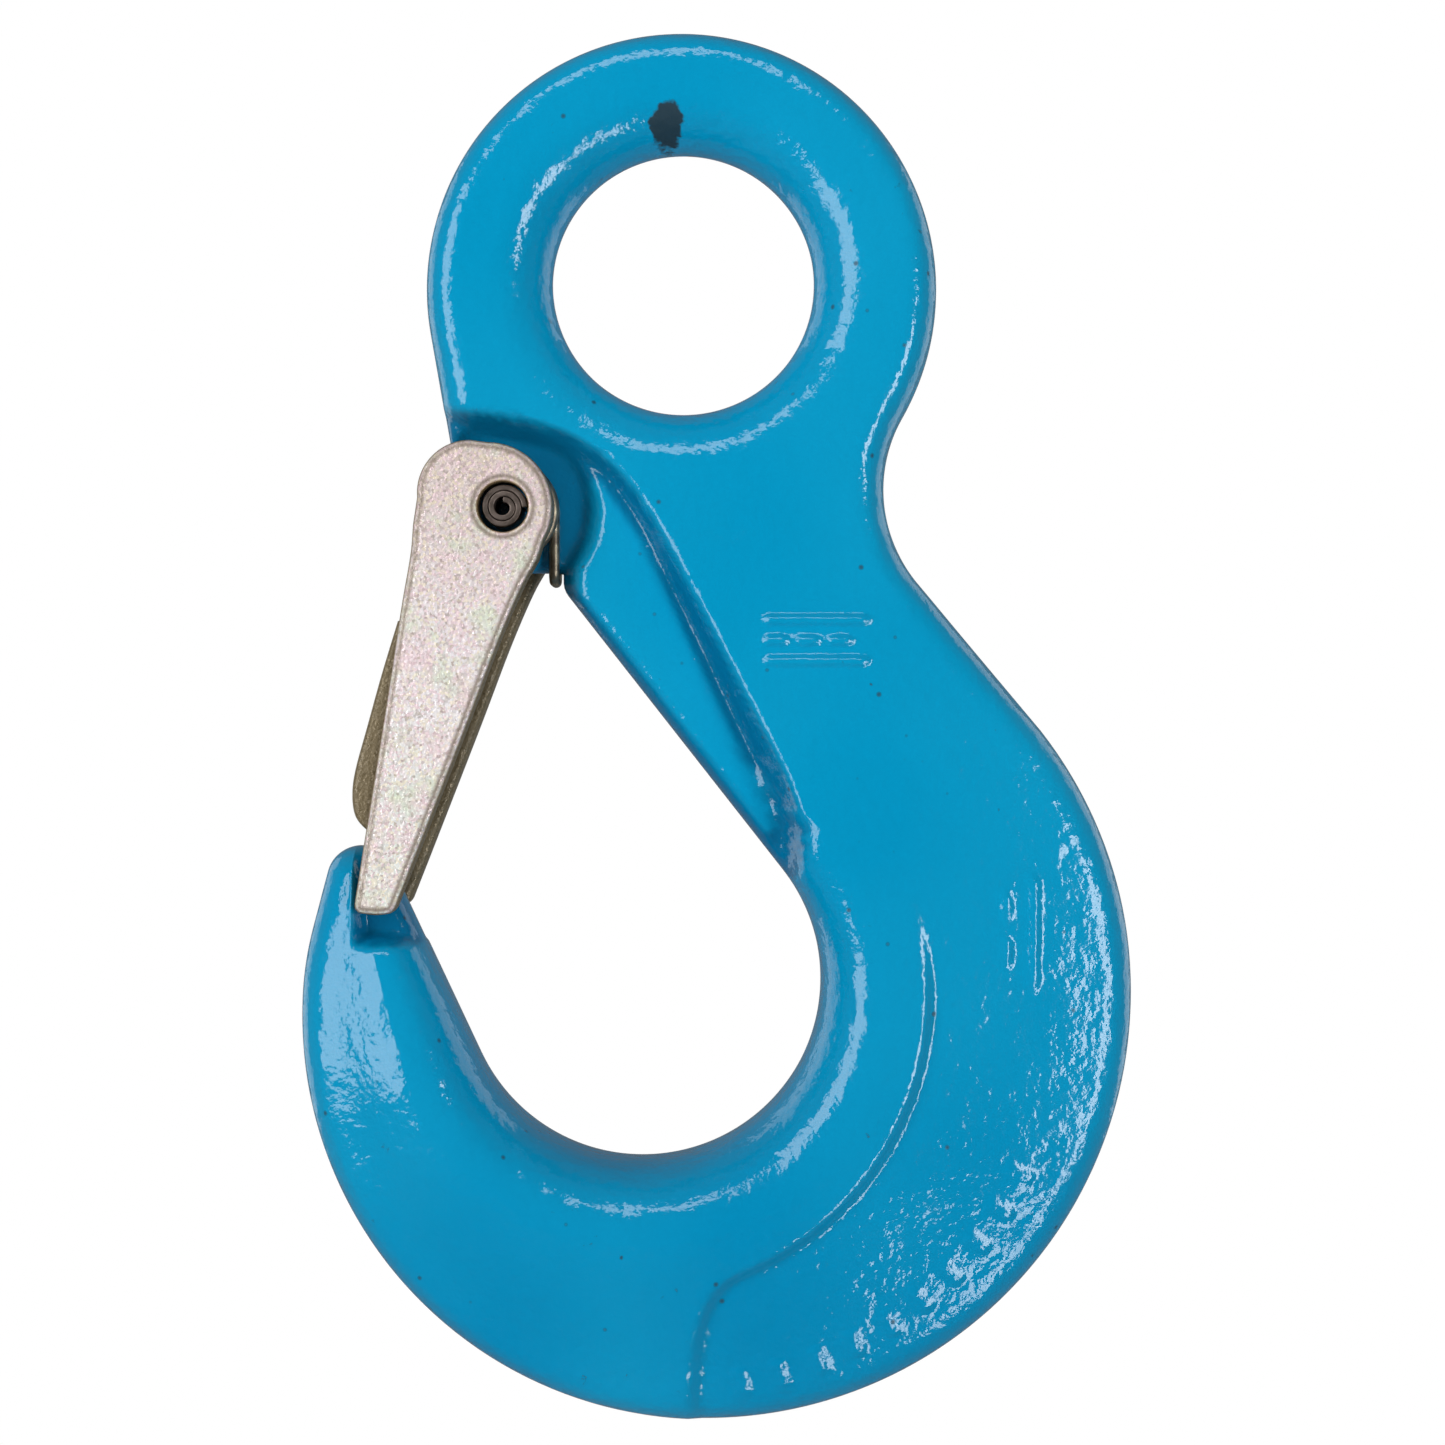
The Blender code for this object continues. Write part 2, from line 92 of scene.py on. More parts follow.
# Eye and neck
EYE = (-0.2, -1.05)
EYE_R = 33.05
BORE_R = 17.0
BORE_REACH = 8.0
NECK_R = 19.0
NECK_ANGLE = -29.7
CUT_DOWN_LEFT = 0.35
CUT_DOWN_NECK = 0.2
BOW_STATIONS = (0.0, 0.45, 0.7, 1.0)
BOW = (8.0, 0.0, -3.0, 0.0)

# Shank: its lean below the horizontal, and its throat side's distance from the eye's centre
SHANK_LEAN = 51.9
THROAT_OFFSET = 36.8
SHANK_WIDTH = 37.5
SHOULDER_X = -15.6
SHOULDER_R = 3.0

# Bowl, arm and tip, each an arc with its centre (x, z)
BOWL_INNER = (-5.4, -90.5)
BOWL_INNER_R = 23.3
BOWL_OUTER = (3.0, -92.0)
BOTTOM_DROP = 2.7
ARM_SHIFT = 10.4
ARM_ANGLE = 177.25
TIP = (-42.0, -77.2)
TIP_R = 4.2
LOBE = (-22.3, -31.6)
LOBE_R = 6.0

# Half thickness of the face along the band: from the eye's cut, past the shoulder (1), the throat's
# end (2), the bowl (2.5) and the arm (3) to the tip (5)
STATIONS = (0.0, 0.1, 1.0, 2.0, 2.5, 3.0, 4.0, 5.0)
CREST_HALF = (8.0, 8.0, 9.2, 11.6, 12.95, 12.0, 8.6, 7.6)
OUTER_HALF = (8.0, 8.0, 8.9, 9.2, 9.4, 9.2, 8.2, 7.4)
INNER_REACH = (4.5, 4.5, 4.0, 7.0, 9.0, 8.0, 4.2, 4.0)
OUTER_REACH = 4.5
EDGE_POWER = 2.5
BORE_POWER = 2.1
STRAIGHT_FALL = 0.35
FACE_RIPPLES = ((0.035, 11.0, 3), (0.02, 5.0, 5))

# Recess for the latch on both faces, with its island, and the round pocket for the spring
WALL_TOP = (
    (-38.0, -16.4), (-23.1, -17.7), (-13.3, -20.6), (-6.0, -27.2), (1.3, -40.0), (7.4, -51.9),
    (12.9, -62.8), (15.0, -68.4), (15.7, -71.0), (15.3, -75.4), (13.6, -78.0), (8.0, -79.4),
)
RECESS_REST = ((-22.0, -50.0), (-44.0, -42.0))
ISLAND = (
    (-11.3, -26.5), (-5.7, -34.2), (0.1, -46.8), (6.0, -59.3), (10.4, -67.3), (11.0, -70.4),
    (-13.7, -38.6), (-13.1, -36.4), (-11.8, -33.9), (-11.0, -29.4),
)
WALL_STEEP = 2.4
ISLAND_HALF = 4.8
VALLEY_HALF = 3.9
ISLAND_FALL = 0.42
WEB_REACH = 1.8
POCKET_R = 10.3
POCKET_HALF = 1.9
POCKET_STEEP = 1.5
LEG_SLOT_INSET = 3.8
LEG_SLOT_LENGTH = 12.0
LEG_SLOT_R = 1.2
NOTCH_CORNER = (-42.1, -85.6)
NOTCH_HALF = 4.7
NOTCH_STEEP = 3.0
NOTCH_STATION = 3.4
SINK_POWER = 2.2

# Shallow panel on the outer side of the bowl: outside a circle, right of one line and below another,
# which leans by an angle through its point. It fades out with height.
PANEL = (-6.9, -91.3)
PANEL_R = 37.5
PANEL_END_X = 1.0
PANEL_TOP = (26.2, -71.0)
PANEL_LEAN = 67.7
PANEL_FADE = (-96.0, -78.0)

# How far the bowl's outer rim falls away, and how far in the fall starts
RIM_FALL = 1.7
RIM_REACH = 14.0

# Dark scuff on the bore's upper rim, in the stretched millimetres of its own mapping
SCUFF = (-2.7, -1.2, 19.6)

# Raised marks: plain bars and dots stand for the maker's and the size marks, by their ends (x, z)
STROKE_HALF = 0.5
STROKE_HEIGHT = 0.5
STROKES = (
    (11.0, -44.0, 23.0, -44.0), (11.0, -46.6, 13.0, -46.6), (15.0, -46.6, 17.0, -46.6),
    (19.0, -46.6, 21.0, -46.6), (11.0, -49.2, 23.0, -49.2), (44.5, -77.0, 44.5, -90.0),
    (41.0, -79.0, 41.0, -81.0), (41.0, -85.0, 41.0, -87.0),
)

# Short spokes round the lower bowl stand for its code
MARK_ARC = (-1.0, -93.0)
MARK_ARC_R = (47.5, 50.0)
MARK_ANGLES = tuple(range(-80, -20, 6))

# Latch: two cheeks joined by the bridge, which carries the thumb's hump
LATCH_HEAD = (-24.6, -29.7)
LATCH_HEAD_R = 8.2
LATCH_CORNER = (-26.9, -27.9)
LATCH_CORNER_R = 6.7
LATCH_HOLE_R = 3.2
HOLE_ROUND = 0.35
LATCH_LEFT = ((-34.1, -32.0), (-34.4, -35.6), (-35.4, -41.4), (-41.5, -80.0))
LATCH_TOE = ((-41.45, -80.6), (-40.9, -81.15), (-39.8, -81.3), (-38.7, -81.35))
LATCH_TOE_RIGHT = ((-38.7, -81.35), (-37.6, -81.3), (-36.8, -81.15), (-36.3, -80.6))
LATCH_RIGHT = ((-33.9, -74.5), (-27.4, -57.8), (-23.3, -47.0), (-20.3, -40.0), (-18.3, -36.4))
CHEEK_OUTER = 10.0
CHEEK_INNER = 5.65
CHEEK_ROUND = 0.85
CHEEK_BOW = (5.0, 2.0, 1.0, 0.0)
BRIDGE_HALF = 9.1
BRIDGE_WALL = 2.8
BRIDGE_LENGTH = 29.4
BRIDGE_INSET = 2.3
BRIDGE_ROUND = 0.7
HUMP = (
    (-36.1, -44.1), (-37.3, -48.0), (-38.4, -51.7), (-40.0, -57.5), (-41.5, -63.0), (-41.9, -66.2),
    (-41.5, -68.9), (-40.1, -70.6), (-39.3, -70.8),
)

# Spring
WIRE_R = 0.7
COIL_R = 6.05
COIL_PITCH = 1.43
COIL_INNER_Y = 2.7
LOOP_Z = -38.7
LOOP_BEND = 1.5
LEG_START = 168.5
LEG_LENGTH = 19.0

# Pin
PIN_R = 3.05
PIN_BORE_R = 1.3
PIN_HALF = 9.0
PIN_TURNS = 2.25
PIN_GAP = 0.07
PIN_ROUND = 0.16

# Softboxes: name, width and height, the setting that holds the power, its share of it, and the place
# from the point that the camera looks at, in metres
LIGHTS = (
    ("left", (0.45, 0.75), "side_power", 1.8, (-0.62, -0.62, 0.12)),
    ("right", (0.20, 0.60), "side_power", 1.3, (0.62, -0.66, -0.14)),
    ("low_right", (0.20, 0.22), "side_power", 0.45, (0.42, -0.60, -0.54)),
    ("top", (0.60, 0.20), "top_power", 1.0, (-0.10, -0.62, 0.62)),
    ("rear_left", (0.50, 0.90), "back_power", 1.0, (-0.70, 0.60, 0.10)),
    ("rear_right", (0.50, 0.90), "back_power", 1.0, (0.70, 0.60, 0.10)),
)

# World: its strength in front of the hook and behind it, and the directions' Y between which it changes
WORLD_STRENGTH = (0.04, 0.16)
WORLD_TURN = (-0.75, 0.35)
FLOOR_R = 0.45
FLOOR_SIDES = 96


def polar(centre, radius, angle):
    """The point at an angle on a circle in the X-Z plane."""
    return np.array([centre[0] + radius * cos(radians(angle)), centre[1] + radius * sin(radians(angle))])


def arc(centre, radius, start, end, step=2.0):
    """Points along a circle's arc from one angle to another."""
    turn = np.radians(np.linspace(start, end, max(2, int(abs(end - start) / step) + 1)))
    return np.column_stack([centre[0] + radius * np.cos(turn), centre[1] + radius * np.sin(turn)])


def angle_and_distance(start, end):
    dx, dz = end[0] - start[0], end[1] - start[1]
    return degrees(atan2(dz, dx)), hypot(dx, dz)


def resample(path, count):
    """Evenly spaced points along a polyline."""
    path = np.asarray(path, float)
    along = np.concatenate([[0.0], np.cumsum(np.sqrt((np.diff(path, axis=0) ** 2).sum(1)))])
    at = np.linspace(0.0, along[-1], count)
    return np.column_stack([np.interp(at, along, column) for column in path.T])


def split(path, share):
    """A polyline cut in two at a share of its length."""
    dense = resample(path, 401)
    at = int(round(share * 400))
    return dense[: at + 1], dense[at:]


def curve_through(points, steps=12):
    """A smooth curve through points: each span is the cubic whose ends slope as their neighbours do."""
    p = np.asarray(points, float)
    padded = np.vstack([2 * p[0] - p[1], p, 2 * p[-1] - p[-2]])
    t = np.linspace(0.0, 1.0, steps + 1)[:-1, None, None]
    a, b, c, d = (padded[k: len(padded) - 3 + k][None] for k in range(4))
    spans = 0.5 * (2 * b + (c - a) * t + (2 * a - 5 * b + 4 * c - d) * t**2 + (3 * b - a - 3 * c + d) * t**3)
    return np.vstack([spans.transpose(1, 0, 2).reshape(-1, p.shape[1]), p[-1:]])


def distance_to(points, path, block=4000):
    """Distance from each point to a polyline."""
    a = np.asarray(path[:-1])
    run = np.asarray(path[1:]) - a
    length_squared = np.maximum((run**2).sum(1), 1e-12)
    found = []
    for first in range(0, len(points), block):
        offset = points[first: first + block, None, :] - a[None]
        share = np.clip((offset * run).sum(2) / length_squared, 0.0, 1.0)
        found.append(((offset - share[..., None] * run) ** 2).sum(2).min(1))
    return np.sqrt(np.concatenate(found))


def inside(points, polygon):
    """Whether each point lies in a polygon: a ray towards +X crosses its edges an odd number of times."""
    x, z = points.T
    odd = np.zeros(len(points), bool)
    for (ax, az), (bx, bz) in zip(polygon, np.roll(polygon, -1, axis=0)):
        spans = (az > z) != (bz > z)
        if az != bz:
            odd ^= spans & (x < (bx - ax) * (z - az) / (bz - az) + ax)
    return odd


def depth_in(points, polygon):
    """Distance in from a polygon's edge, negative outside it."""
    polygon = np.asarray(polygon, float)
    distance = distance_to(points, np.vstack([polygon, polygon[:1]]))
    return np.where(inside(points, polygon), distance, -distance)


def lower(a, b, blend):
    """The smaller of two heights, with a fillet of about the blend's size where they cross."""
    h = np.clip(0.5 + 0.5 * (b - a) / blend, 0.0, 1.0)
    return b + (a - b) * h - blend * h * (1.0 - h)


def higher(a, b, blend):
    return -lower(-a, -b, blend)


def ease(value, start, end):
    """0 before start and 1 after end, with a smooth rise between them."""
    t = np.clip((value - start) / (end - start), 0.0, 1.0)
    return t * t * (3.0 - 2.0 * t)


def smooth(at, stations, values):
    """A curve through values at stations, with no kink where two spans meet."""
    x, y = np.asarray(stations), np.asarray(values)
    slope = np.gradient(y, x)
    k = np.clip(np.searchsorted(x, at, side="right") - 1, 0, len(x) - 2)
    gap = x[k + 1] - x[k]
    t = (at - x[k]) / gap
    start = (1.0 + 2.0 * t) * y[k] + t * gap * slope[k]
    end = (3.0 - 2.0 * t) * y[k + 1] + (t - 1.0) * gap * slope[k + 1]
    return (1.0 - t) ** 2 * start + t**2 * end


def edge_share(depth, reach, power=EDGE_POWER):
    """How much of the half thickness is left at a depth in from the edge: a superellipse's quarter."""
    outward = np.clip(1.0 - depth / reach, 0.0, 1.0)
    return (1.0 - outward**power) ** (1.0 / power)


def edge_depths(cells, power=EDGE_POWER):
    """Depths, as shares of the reach, that step evenly round a superellipse's quarter."""
    height = np.sin(np.linspace(0.0, np.pi / 2, cells + 1))
    return 1.0 - (1.0 - height**power) ** (1.0 / power)


def ripple(points, size, seed):
    """A gentle unevenness between -1 and 1: sines that run in several directions, of about one size."""
    draw = np.random.default_rng(seed)
    total = np.zeros(len(points))
    for turn in draw.uniform(0.0, 2 * np.pi, 7):
        wave = 2 * np.pi / (size * draw.uniform(0.7, 1.5))
        total += np.sin((points[:, 0] * cos(turn) + points[:, 1] * sin(turn)) * wave + draw.uniform(0.0, 6.3))
    return total / 7.0


class Plate:
    """A flat shape with a bore: a ring round the bore, and a band that runs from the ring to its end.

    crown is the ring's free edge. inner and outer are the band's two edges, in matching spans.
    """

    def __init__(self, bore, bore_r, crown, inner, outer):
        self.bore, self.bore_r = np.asarray(bore, float), bore_r
        self.crown, self.inner, self.outer = crown, inner, outer

    def band(self, counts, edge_cells, mid_cells, reach_in, reach_out, bow):
        """Rows of points across the band, closer together near its edges, with each point's station and
        how far it is across the middle part."""
        ins, outs, station = [], [], []
        for k, count in enumerate(counts):
            keep = slice(0, None) if k == len(counts) - 1 else slice(0, -1)
            ins.append(resample(self.inner[k], count + 1)[keep])
            outs.append(resample(self.outer[k], count + 1)[keep])
            station.append(np.linspace(k, k + 1, count + 1)[keep])
        start, end, station = np.vstack(ins), np.vstack(outs), np.concatenate(station)
        chord = end - start
        width = np.maximum(np.sqrt((chord**2).sum(1)), 1e-6)
        first = (np.minimum(reach_in(station), 0.45 * width) / width)[:, None] * edge_depths(edge_cells)
        last = 1.0 - (np.minimum(reach_out, 0.45 * width) / width)[:, None] * edge_depths(edge_cells)[::-1]
        middle = np.linspace(0.0, 1.0, mid_cells + 1)[1:-1]
        share = np.hstack([first, first[:, -1:] + (last[:, :1] - first[:, -1:]) * middle, last])
        across = np.column_stack([chord[:, 1], -chord[:, 0]]) / width[:, None]
        bowed = 4.0 * share * (1.0 - share) * smooth(np.minimum(station, 1.0), BOW_STATIONS, bow)[:, None]
        flat = start[:, None] + share[..., None] * chord[:, None] + bowed[..., None] * across[:, None]
        level = np.zeros(edge_cells + 1)
        fall = np.concatenate([level, middle, level + 1.0])
        return flat, np.repeat(station[:, None], len(fall), axis=1), np.tile(fall, (len(flat), 1))

    def ring(self, cut, crown_cells, bore_cells, mid_cells, edge_cells, bore_reach, reach_out):
        """Spokes from the bore to the crown, and from the bore to the band's first row."""
        sectors = []
        for rim in (resample(self.crown, crown_cells + 1), cut):
            spoke = np.unwrap(np.arctan2(rim[:, 1] - self.bore[1], rim[:, 0] - self.bore[0]))
            hub = self.bore + self.bore_r * np.column_stack([np.cos(spoke), np.sin(spoke)])
            room = np.sqrt(((rim - hub) ** 2).sum(1))[:, None]
            first = np.minimum(bore_reach, 0.6 * room) * edge_depths(bore_cells, BORE_POWER) / room
            last = 1.0 - np.minimum(reach_out, 0.3 * room) * edge_depths(edge_cells)[::-1] / room
            middle = np.linspace(0.0, 1.0, mid_cells + 1)[1:-1]
            share = np.hstack([first, first[:, -1:] + (last[:, :1] - first[:, -1:]) * middle, last])
            sectors.append(hub[:, None] + share[..., None] * (rim - hub)[:, None])
        return sectors


def grid_quads(rows, columns, first=0):
    """Quads between the points of a grid that are numbered row by row."""
    at = first + np.arange(rows * columns).reshape(rows, columns)
    return np.stack([at[:-1, :-1], at[:-1, 1:], at[1:, 1:], at[1:, :-1]], axis=-1).reshape(-1, 4)


def mirrored_mesh(name, grids, middle, shade_cues):
    """One closed mesh from grids of (x, half thickness, z), laid in front of and behind a middle plane.
    Each grid's shade cues are the values that the finish reads at its points to paint shade."""
    corners, quads, both, count = [], [], [], 0
    for k, grid in enumerate(grids):
        points = grid.reshape(-1, 3)
        for side in (-1.0, 1.0):
            corners.append(np.column_stack([points[:, 0], middle + side * points[:, 1], points[:, 2]]))
            quads.append(grid_quads(*grid.shape[:2], count))
            both.append(shade_cues[k])
            count += len(points)
    return weld(name, np.vstack(corners) * MM, np.vstack(quads), np.concatenate(both))


def weld(name, corners, quads, cue=None):
    """A mesh with its doubles merged, its flat faces removed and its normals pointing out. Its finish can
    read cue, one value at each point, to paint shade."""
    mesh = bpy.data.meshes.new(name)
    mesh.from_pydata(corners, [], quads.tolist())
    if cue is not None:
        attribute = mesh.attributes.new("cue", "FLOAT", "POINT")
        attribute.data.foreach_set("value", np.asarray(cue, np.float32))
    bm = bmesh.new()
    bm.from_mesh(mesh)
    bmesh.ops.remove_doubles(bm, verts=bm.verts, dist=WELD_GAP)
    bmesh.ops.dissolve_degenerate(bm, dist=WELD_GAP, edges=bm.edges)
    bmesh.ops.recalc_face_normals(bm, faces=bm.faces)
    bm.to_mesh(mesh)
    bm.free()
    mesh.shade_smooth()
    return mesh


def hook_outline():
    """The forging's outline: tangent arcs and the straight runs between them, as a Plate."""
    lean = radians(SHANK_LEAN)
    normal, normal_angle = np.array([sin(lean), cos(lean)]), 90.0 - SHANK_LEAN
    neck = polar(EYE, EYE_R + NECK_R, NECK_ANGLE)
    neck_end = normal_angle + 180.0
    outer_r = SHANK_WIDTH - THROAT_OFFSET - normal @ np.array(BOWL_OUTER)
    bottom, bottom_r = (BOWL_OUTER[0], BOWL_OUTER[1] - BOTTOM_DROP), outer_r - BOTTOM_DROP
    arm, arm_r = polar(bottom, ARM_SHIFT, ARM_ANGLE), bottom_r - ARM_SHIFT

    to_tip, tip_distance = angle_and_distance(arm, TIP)
    tip_start = to_tip + degrees(acos((arm_r - TIP_R) / tip_distance))
    to_bowl, bowl_distance = angle_and_distance(TIP, BOWL_INNER)
    tip_end = to_bowl + degrees(acos((TIP_R + BOWL_INNER_R) / bowl_distance))
    apex, bowl_end = (tip_start + tip_end) / 2, tip_end - 180.0

    to_lobe, lobe_distance = angle_and_distance(EYE, LOBE)
    left_angle = to_lobe % 360 - degrees(acos((EYE_R - LOBE_R) / lobe_distance))
    shoulder_x = SHOULDER_X + SHOULDER_R
    shoulder = (shoulder_x, (SHOULDER_R - THROAT_OFFSET - normal[0] * shoulder_x) / normal[1])

    left_line = [polar(EYE, EYE_R, left_angle), polar(LOBE, LOBE_R, left_angle)]
    left_top, left_rest = split(left_line, CUT_DOWN_LEFT)
    neck_top, neck_rest = split(arc(neck, NECK_R, 180.0 + NECK_ANGLE, neck_end), CUT_DOWN_NECK)
    crown = np.vstack([neck_top[::-1], arc(EYE, EYE_R, NECK_ANGLE, left_angle), left_top])

    outside = resample(np.vstack([
        [polar(neck, NECK_R, neck_end), polar(BOWL_OUTER, outer_r, normal_angle)],
        arc(BOWL_OUTER, outer_r, normal_angle, -90.0),
        arc(bottom, bottom_r, -90.0, ARM_ANGLE - 360.0),
        arc(arm, arm_r, ARM_ANGLE, tip_start),
        [polar(TIP, TIP_R, tip_start)],
    ]), 2000)
    seen = np.degrees(np.unwrap(np.arctan2(outside[:, 1] - BOWL_INNER[1], outside[:, 0] - BOWL_INNER[0])))
    at_throat, at_arm = (int(np.argmin(np.abs(seen - a))) for a in (normal_angle, bowl_end))
    at_shoulder = at_throat // 5
    inner = [
        np.vstack([left_rest, arc(LOBE, LOBE_R, left_angle, 270.0), [(SHOULDER_X, LOBE[1] - LOBE_R)],
                   arc(shoulder, SHOULDER_R, 180.0, neck_end)]),
        np.vstack([polar(shoulder, SHOULDER_R, neck_end), polar(BOWL_INNER, BOWL_INNER_R, normal_angle)]),
        arc(BOWL_INNER, BOWL_INNER_R, normal_angle, bowl_end),
        np.vstack([polar(BOWL_INNER, BOWL_INNER_R, bowl_end), polar(TIP, TIP_R, tip_end)]),
        arc(TIP, TIP_R, tip_end, apex),
    ]
    outer = [
        np.vstack([neck_rest, outside[: at_shoulder + 1]]),
        outside[at_shoulder: at_throat + 1],
        outside[at_throat: at_arm + 1],
        outside[at_arm:],
        arc(TIP, TIP_R, tip_start, apex),
    ]
    return Plate((0, 0), BORE_R, crown, inner, outer)


def forged_face(points, station, fall, edges, panel_depth):
    """Half thickness before anything is pressed in: a crest near the throat falls to the outer side,
    both edges round off as superellipses, and a shallow panel lies outside the crest."""
    throat, outer, edge = edges
    reach_in = smooth(station, STATIONS, INNER_REACH)
    crest, outside = smooth(station, STATIONS, CREST_HALF), smooth(station, STATIONS, OUTER_HALF)
    face = crest + (outside - crest) * (STRAIGHT_FALL * fall + (1.0 - STRAIGHT_FALL) * ease(fall, 0.0, 1.0))

    to_panel = np.sqrt(((points - np.array(PANEL)) ** 2).sum(1)) - PANEL_R
    lean = radians(PANEL_LEAN)
    right_of_top = (points - np.array(PANEL_TOP)) @ np.array([sin(lean), -cos(lean)])
    depth = lower(lower(to_panel, points[:, 0] - PANEL_END_X, 5.0), right_of_top, 4.0)
    present = ease(station, 1.2, 1.8) * (1.0 - ease(points[:, 1], *PANEL_FADE))
    face -= panel_depth * ease(depth, -0.2, 1.3) * present
    face -= RIM_FALL * np.clip(1.0 - outer / RIM_REACH, 0.0, 1.0) ** 2 * ease(station, 0.6, 1.6)
    face += sum(height * ripple(points, size, seed) for height, size, seed in FACE_RIPPLES)
    face += mark_height(points)
    reach = np.where(throat <= edge, reach_in, OUTER_REACH)
    return face * edge_share(edge, np.minimum(reach, 0.5 * np.maximum(throat + outer, 8.0)))


def mark_height(points):
    """Height of the raised marks: every stroke is a bar with round ends and a rounded top."""
    spokes = [np.concatenate([polar(MARK_ARC, r, a) for r in MARK_ARC_R]) for a in MARK_ANGLES]
    nearest = np.full(len(points), 10.0)
    for x0, z0, x1, z1 in [*STROKES, *spokes]:
        nearest = np.minimum(nearest, distance_to(points, np.array([(x0, z0), (x1, z1)])))
    return STROKE_HEIGHT * (1.0 - ease(nearest, 0.3 * STROKE_HALF, 2.0 * STROKE_HALF))


def pressed_face(points, station, edges, face):
    """The face with the latch's recess, the spring's pocket and the tip's notch pressed in, and how much
    shade is painted at each point: 1 on the walls and in the valleys, 0 on the island and the open face."""
    edge = edges[2]
    wall_line = curve_through(WALL_TOP)
    into_recess = depth_in(points, np.vstack([wall_line, RECESS_REST]))
    into_island = depth_in(points, ISLAND)
    floor = ISLAND_HALF - lower(higher(-into_island, 0.0, 0.7) * ISLAND_FALL, ISLAND_HALF - VALLEY_HALF, 0.5)
    from_pin = np.sqrt(((points - np.array(PIN)) ** 2).sum(1))
    leg_x = PIN[0] + POCKET_R - LEG_SLOT_INSET
    leg_slot = np.array([(leg_x, PIN[1]), (leg_x, PIN[1] - LEG_SLOT_LENGTH)])
    from_leg = distance_to(points, leg_slot) + POCKET_R - LEG_SLOT_R
    into_pocket = POCKET_R - np.minimum(from_pin, from_leg)
    floor = lower(floor, higher(POCKET_HALF, POCKET_HALF - POCKET_STEEP * into_pocket, 0.8), 0.7)
    web = edge_share(edge, WEB_REACH, SINK_POWER)
    recess = higher(floor * web, face - WALL_STEEP * into_recess, 1.0)
    pressed = lower(face, recess, 1.0)

    into_notch = lower(points[:, 0] - NOTCH_CORNER[0], points[:, 1] - NOTCH_CORNER[1], 1.2)
    into_notch = np.where(station > NOTCH_STATION, into_notch, -10.0)
    notch = higher(NOTCH_HALF * web, face - NOTCH_STEEP * into_notch, 0.8)
    pressed = lower(pressed, notch, 0.5)
    # Painted shade: the recess's walls and valleys are marked for darker enamel.
    hollow_shade = ease(face - pressed, 0.3, 1.6) * (1.0 - ease(into_island, -1.3, -0.2))
    return pressed, hollow_shade


def plate_parts(plate, counts, edges, middles, bore_cells, crown_cells, reaches, bow):
    """The band's grid and the ring's, each with its stations and shares of the way across, and the plate's
    free edges as polylines."""
    reach_in, reach_out, bore_reach = reaches
    flat, station, fall = plate.band(counts, edges, middles[0], reach_in, reach_out, bow)
    sectors = plate.ring(flat[0], crown_cells, bore_cells, middles[1], edges, bore_reach, reach_out)
    parts = [(flat, station, fall)] + [(sector, *np.zeros((2, *sector.shape[:2]))) for sector in sectors]
    return parts, (flat[:, 0], flat[:, -1], sectors[0][:, -1])


def edge_distances(points, edges):
    """Distance to the band's inner side, to its outer side, and to the nearest free edge of all."""
    inner, outer, crown = (distance_to(points, edge) for edge in edges)
    return inner, outer, np.minimum(np.minimum(inner, outer), crown)


def hook_mesh(panel_depth):
    """The forging as one surface: x and z from the plate's grids, and y the half thickness that
    forged_face and pressed_face give. The shade cue is how much painted shade the enamel gets there, on the
    recess's walls and valleys."""
    parts, edges = plate_parts(
        hook_outline(), (60, 96, 216, 44, 14), 9, (62, 14), 9, 200,
        (lambda at: smooth(at, STATIONS, INNER_REACH), OUTER_REACH, BORE_REACH), BOW)
    grids, hollows = [], []
    for flat, station, fall in parts:
        points, along = flat.reshape(-1, 2), station.ravel()
        near = edge_distances(points, edges)
        half = forged_face(points, along, fall.ravel(), near, panel_depth)
        half, hollow_shade = pressed_face(points, along, near, half)
        half *= edge_share(np.sqrt((points**2).sum(1)) - BORE_R, BORE_REACH, BORE_POWER)
        grids.append(np.column_stack([points[:, 0], half, points[:, 1]]).reshape(*flat.shape[:2], 3))
        hollows.append(hollow_shade)
    return mirrored_mesh("forged_hook", grids, 0.0, hollows)


def latch_outline():
    """A cheek as a Plate: the head round the pin, then the arm down to the toe."""
    head = arc(LATCH_HEAD, LATCH_HEAD_R, -30.0, 90.0)
    crown = np.vstack([head, arc(LATCH_CORNER, LATCH_CORNER_R, 90.0, 185.0)])
    left = np.vstack([crown[-1:], curve_through(LATCH_LEFT[:3], 6), LATCH_LEFT[3:], LATCH_TOE])
    right = np.vstack([crown[:1], curve_through(LATCH_RIGHT[::-1], 8), LATCH_TOE_RIGHT[::-1]])
    return Plate(PIN, LATCH_HOLE_R, crown, [left], [right])


def cheek_mesh(side):
    """One cheek: its faces are parallel, and every rim is a quarter circle. The shade cue is the distance in
    from the nearest rim, which the plating reads to paint shade on the rims."""
    reach = CHEEK_ROUND
    parts, edges = plate_parts(
        latch_outline(), (150,), 6, (16, 10), 6, 90,
        (lambda at: np.full(np.shape(at), reach), reach, HOLE_ROUND), CHEEK_BOW)
    half, middle = (CHEEK_OUTER - CHEEK_INNER) / 2, side * (CHEEK_OUTER + CHEEK_INNER) / 2
    grids, rims = [], []
    for flat, *_ in parts:
        points = flat.reshape(-1, 2)
        hole = np.abs(np.sqrt(((points - np.array(PIN)) ** 2).sum(1)) - LATCH_HOLE_R)
        edge = edge_distances(points, edges)[2]
        rim = np.minimum(edge, hole)
        thick = half - reach * (1.0 - edge_share(edge, reach, 2.0))
        thick -= HOLE_ROUND * (1.0 - edge_share(hole, HOLE_ROUND, 2.0))
        thick = np.where(rim < 1e-6, 0.0, thick)
        grids.append(np.column_stack([points[:, 0], thick, points[:, 1]]).reshape(*flat.shape[:2], 3))
        rims.append(rim)
    return mirrored_mesh("cheek", grids, middle, rims)


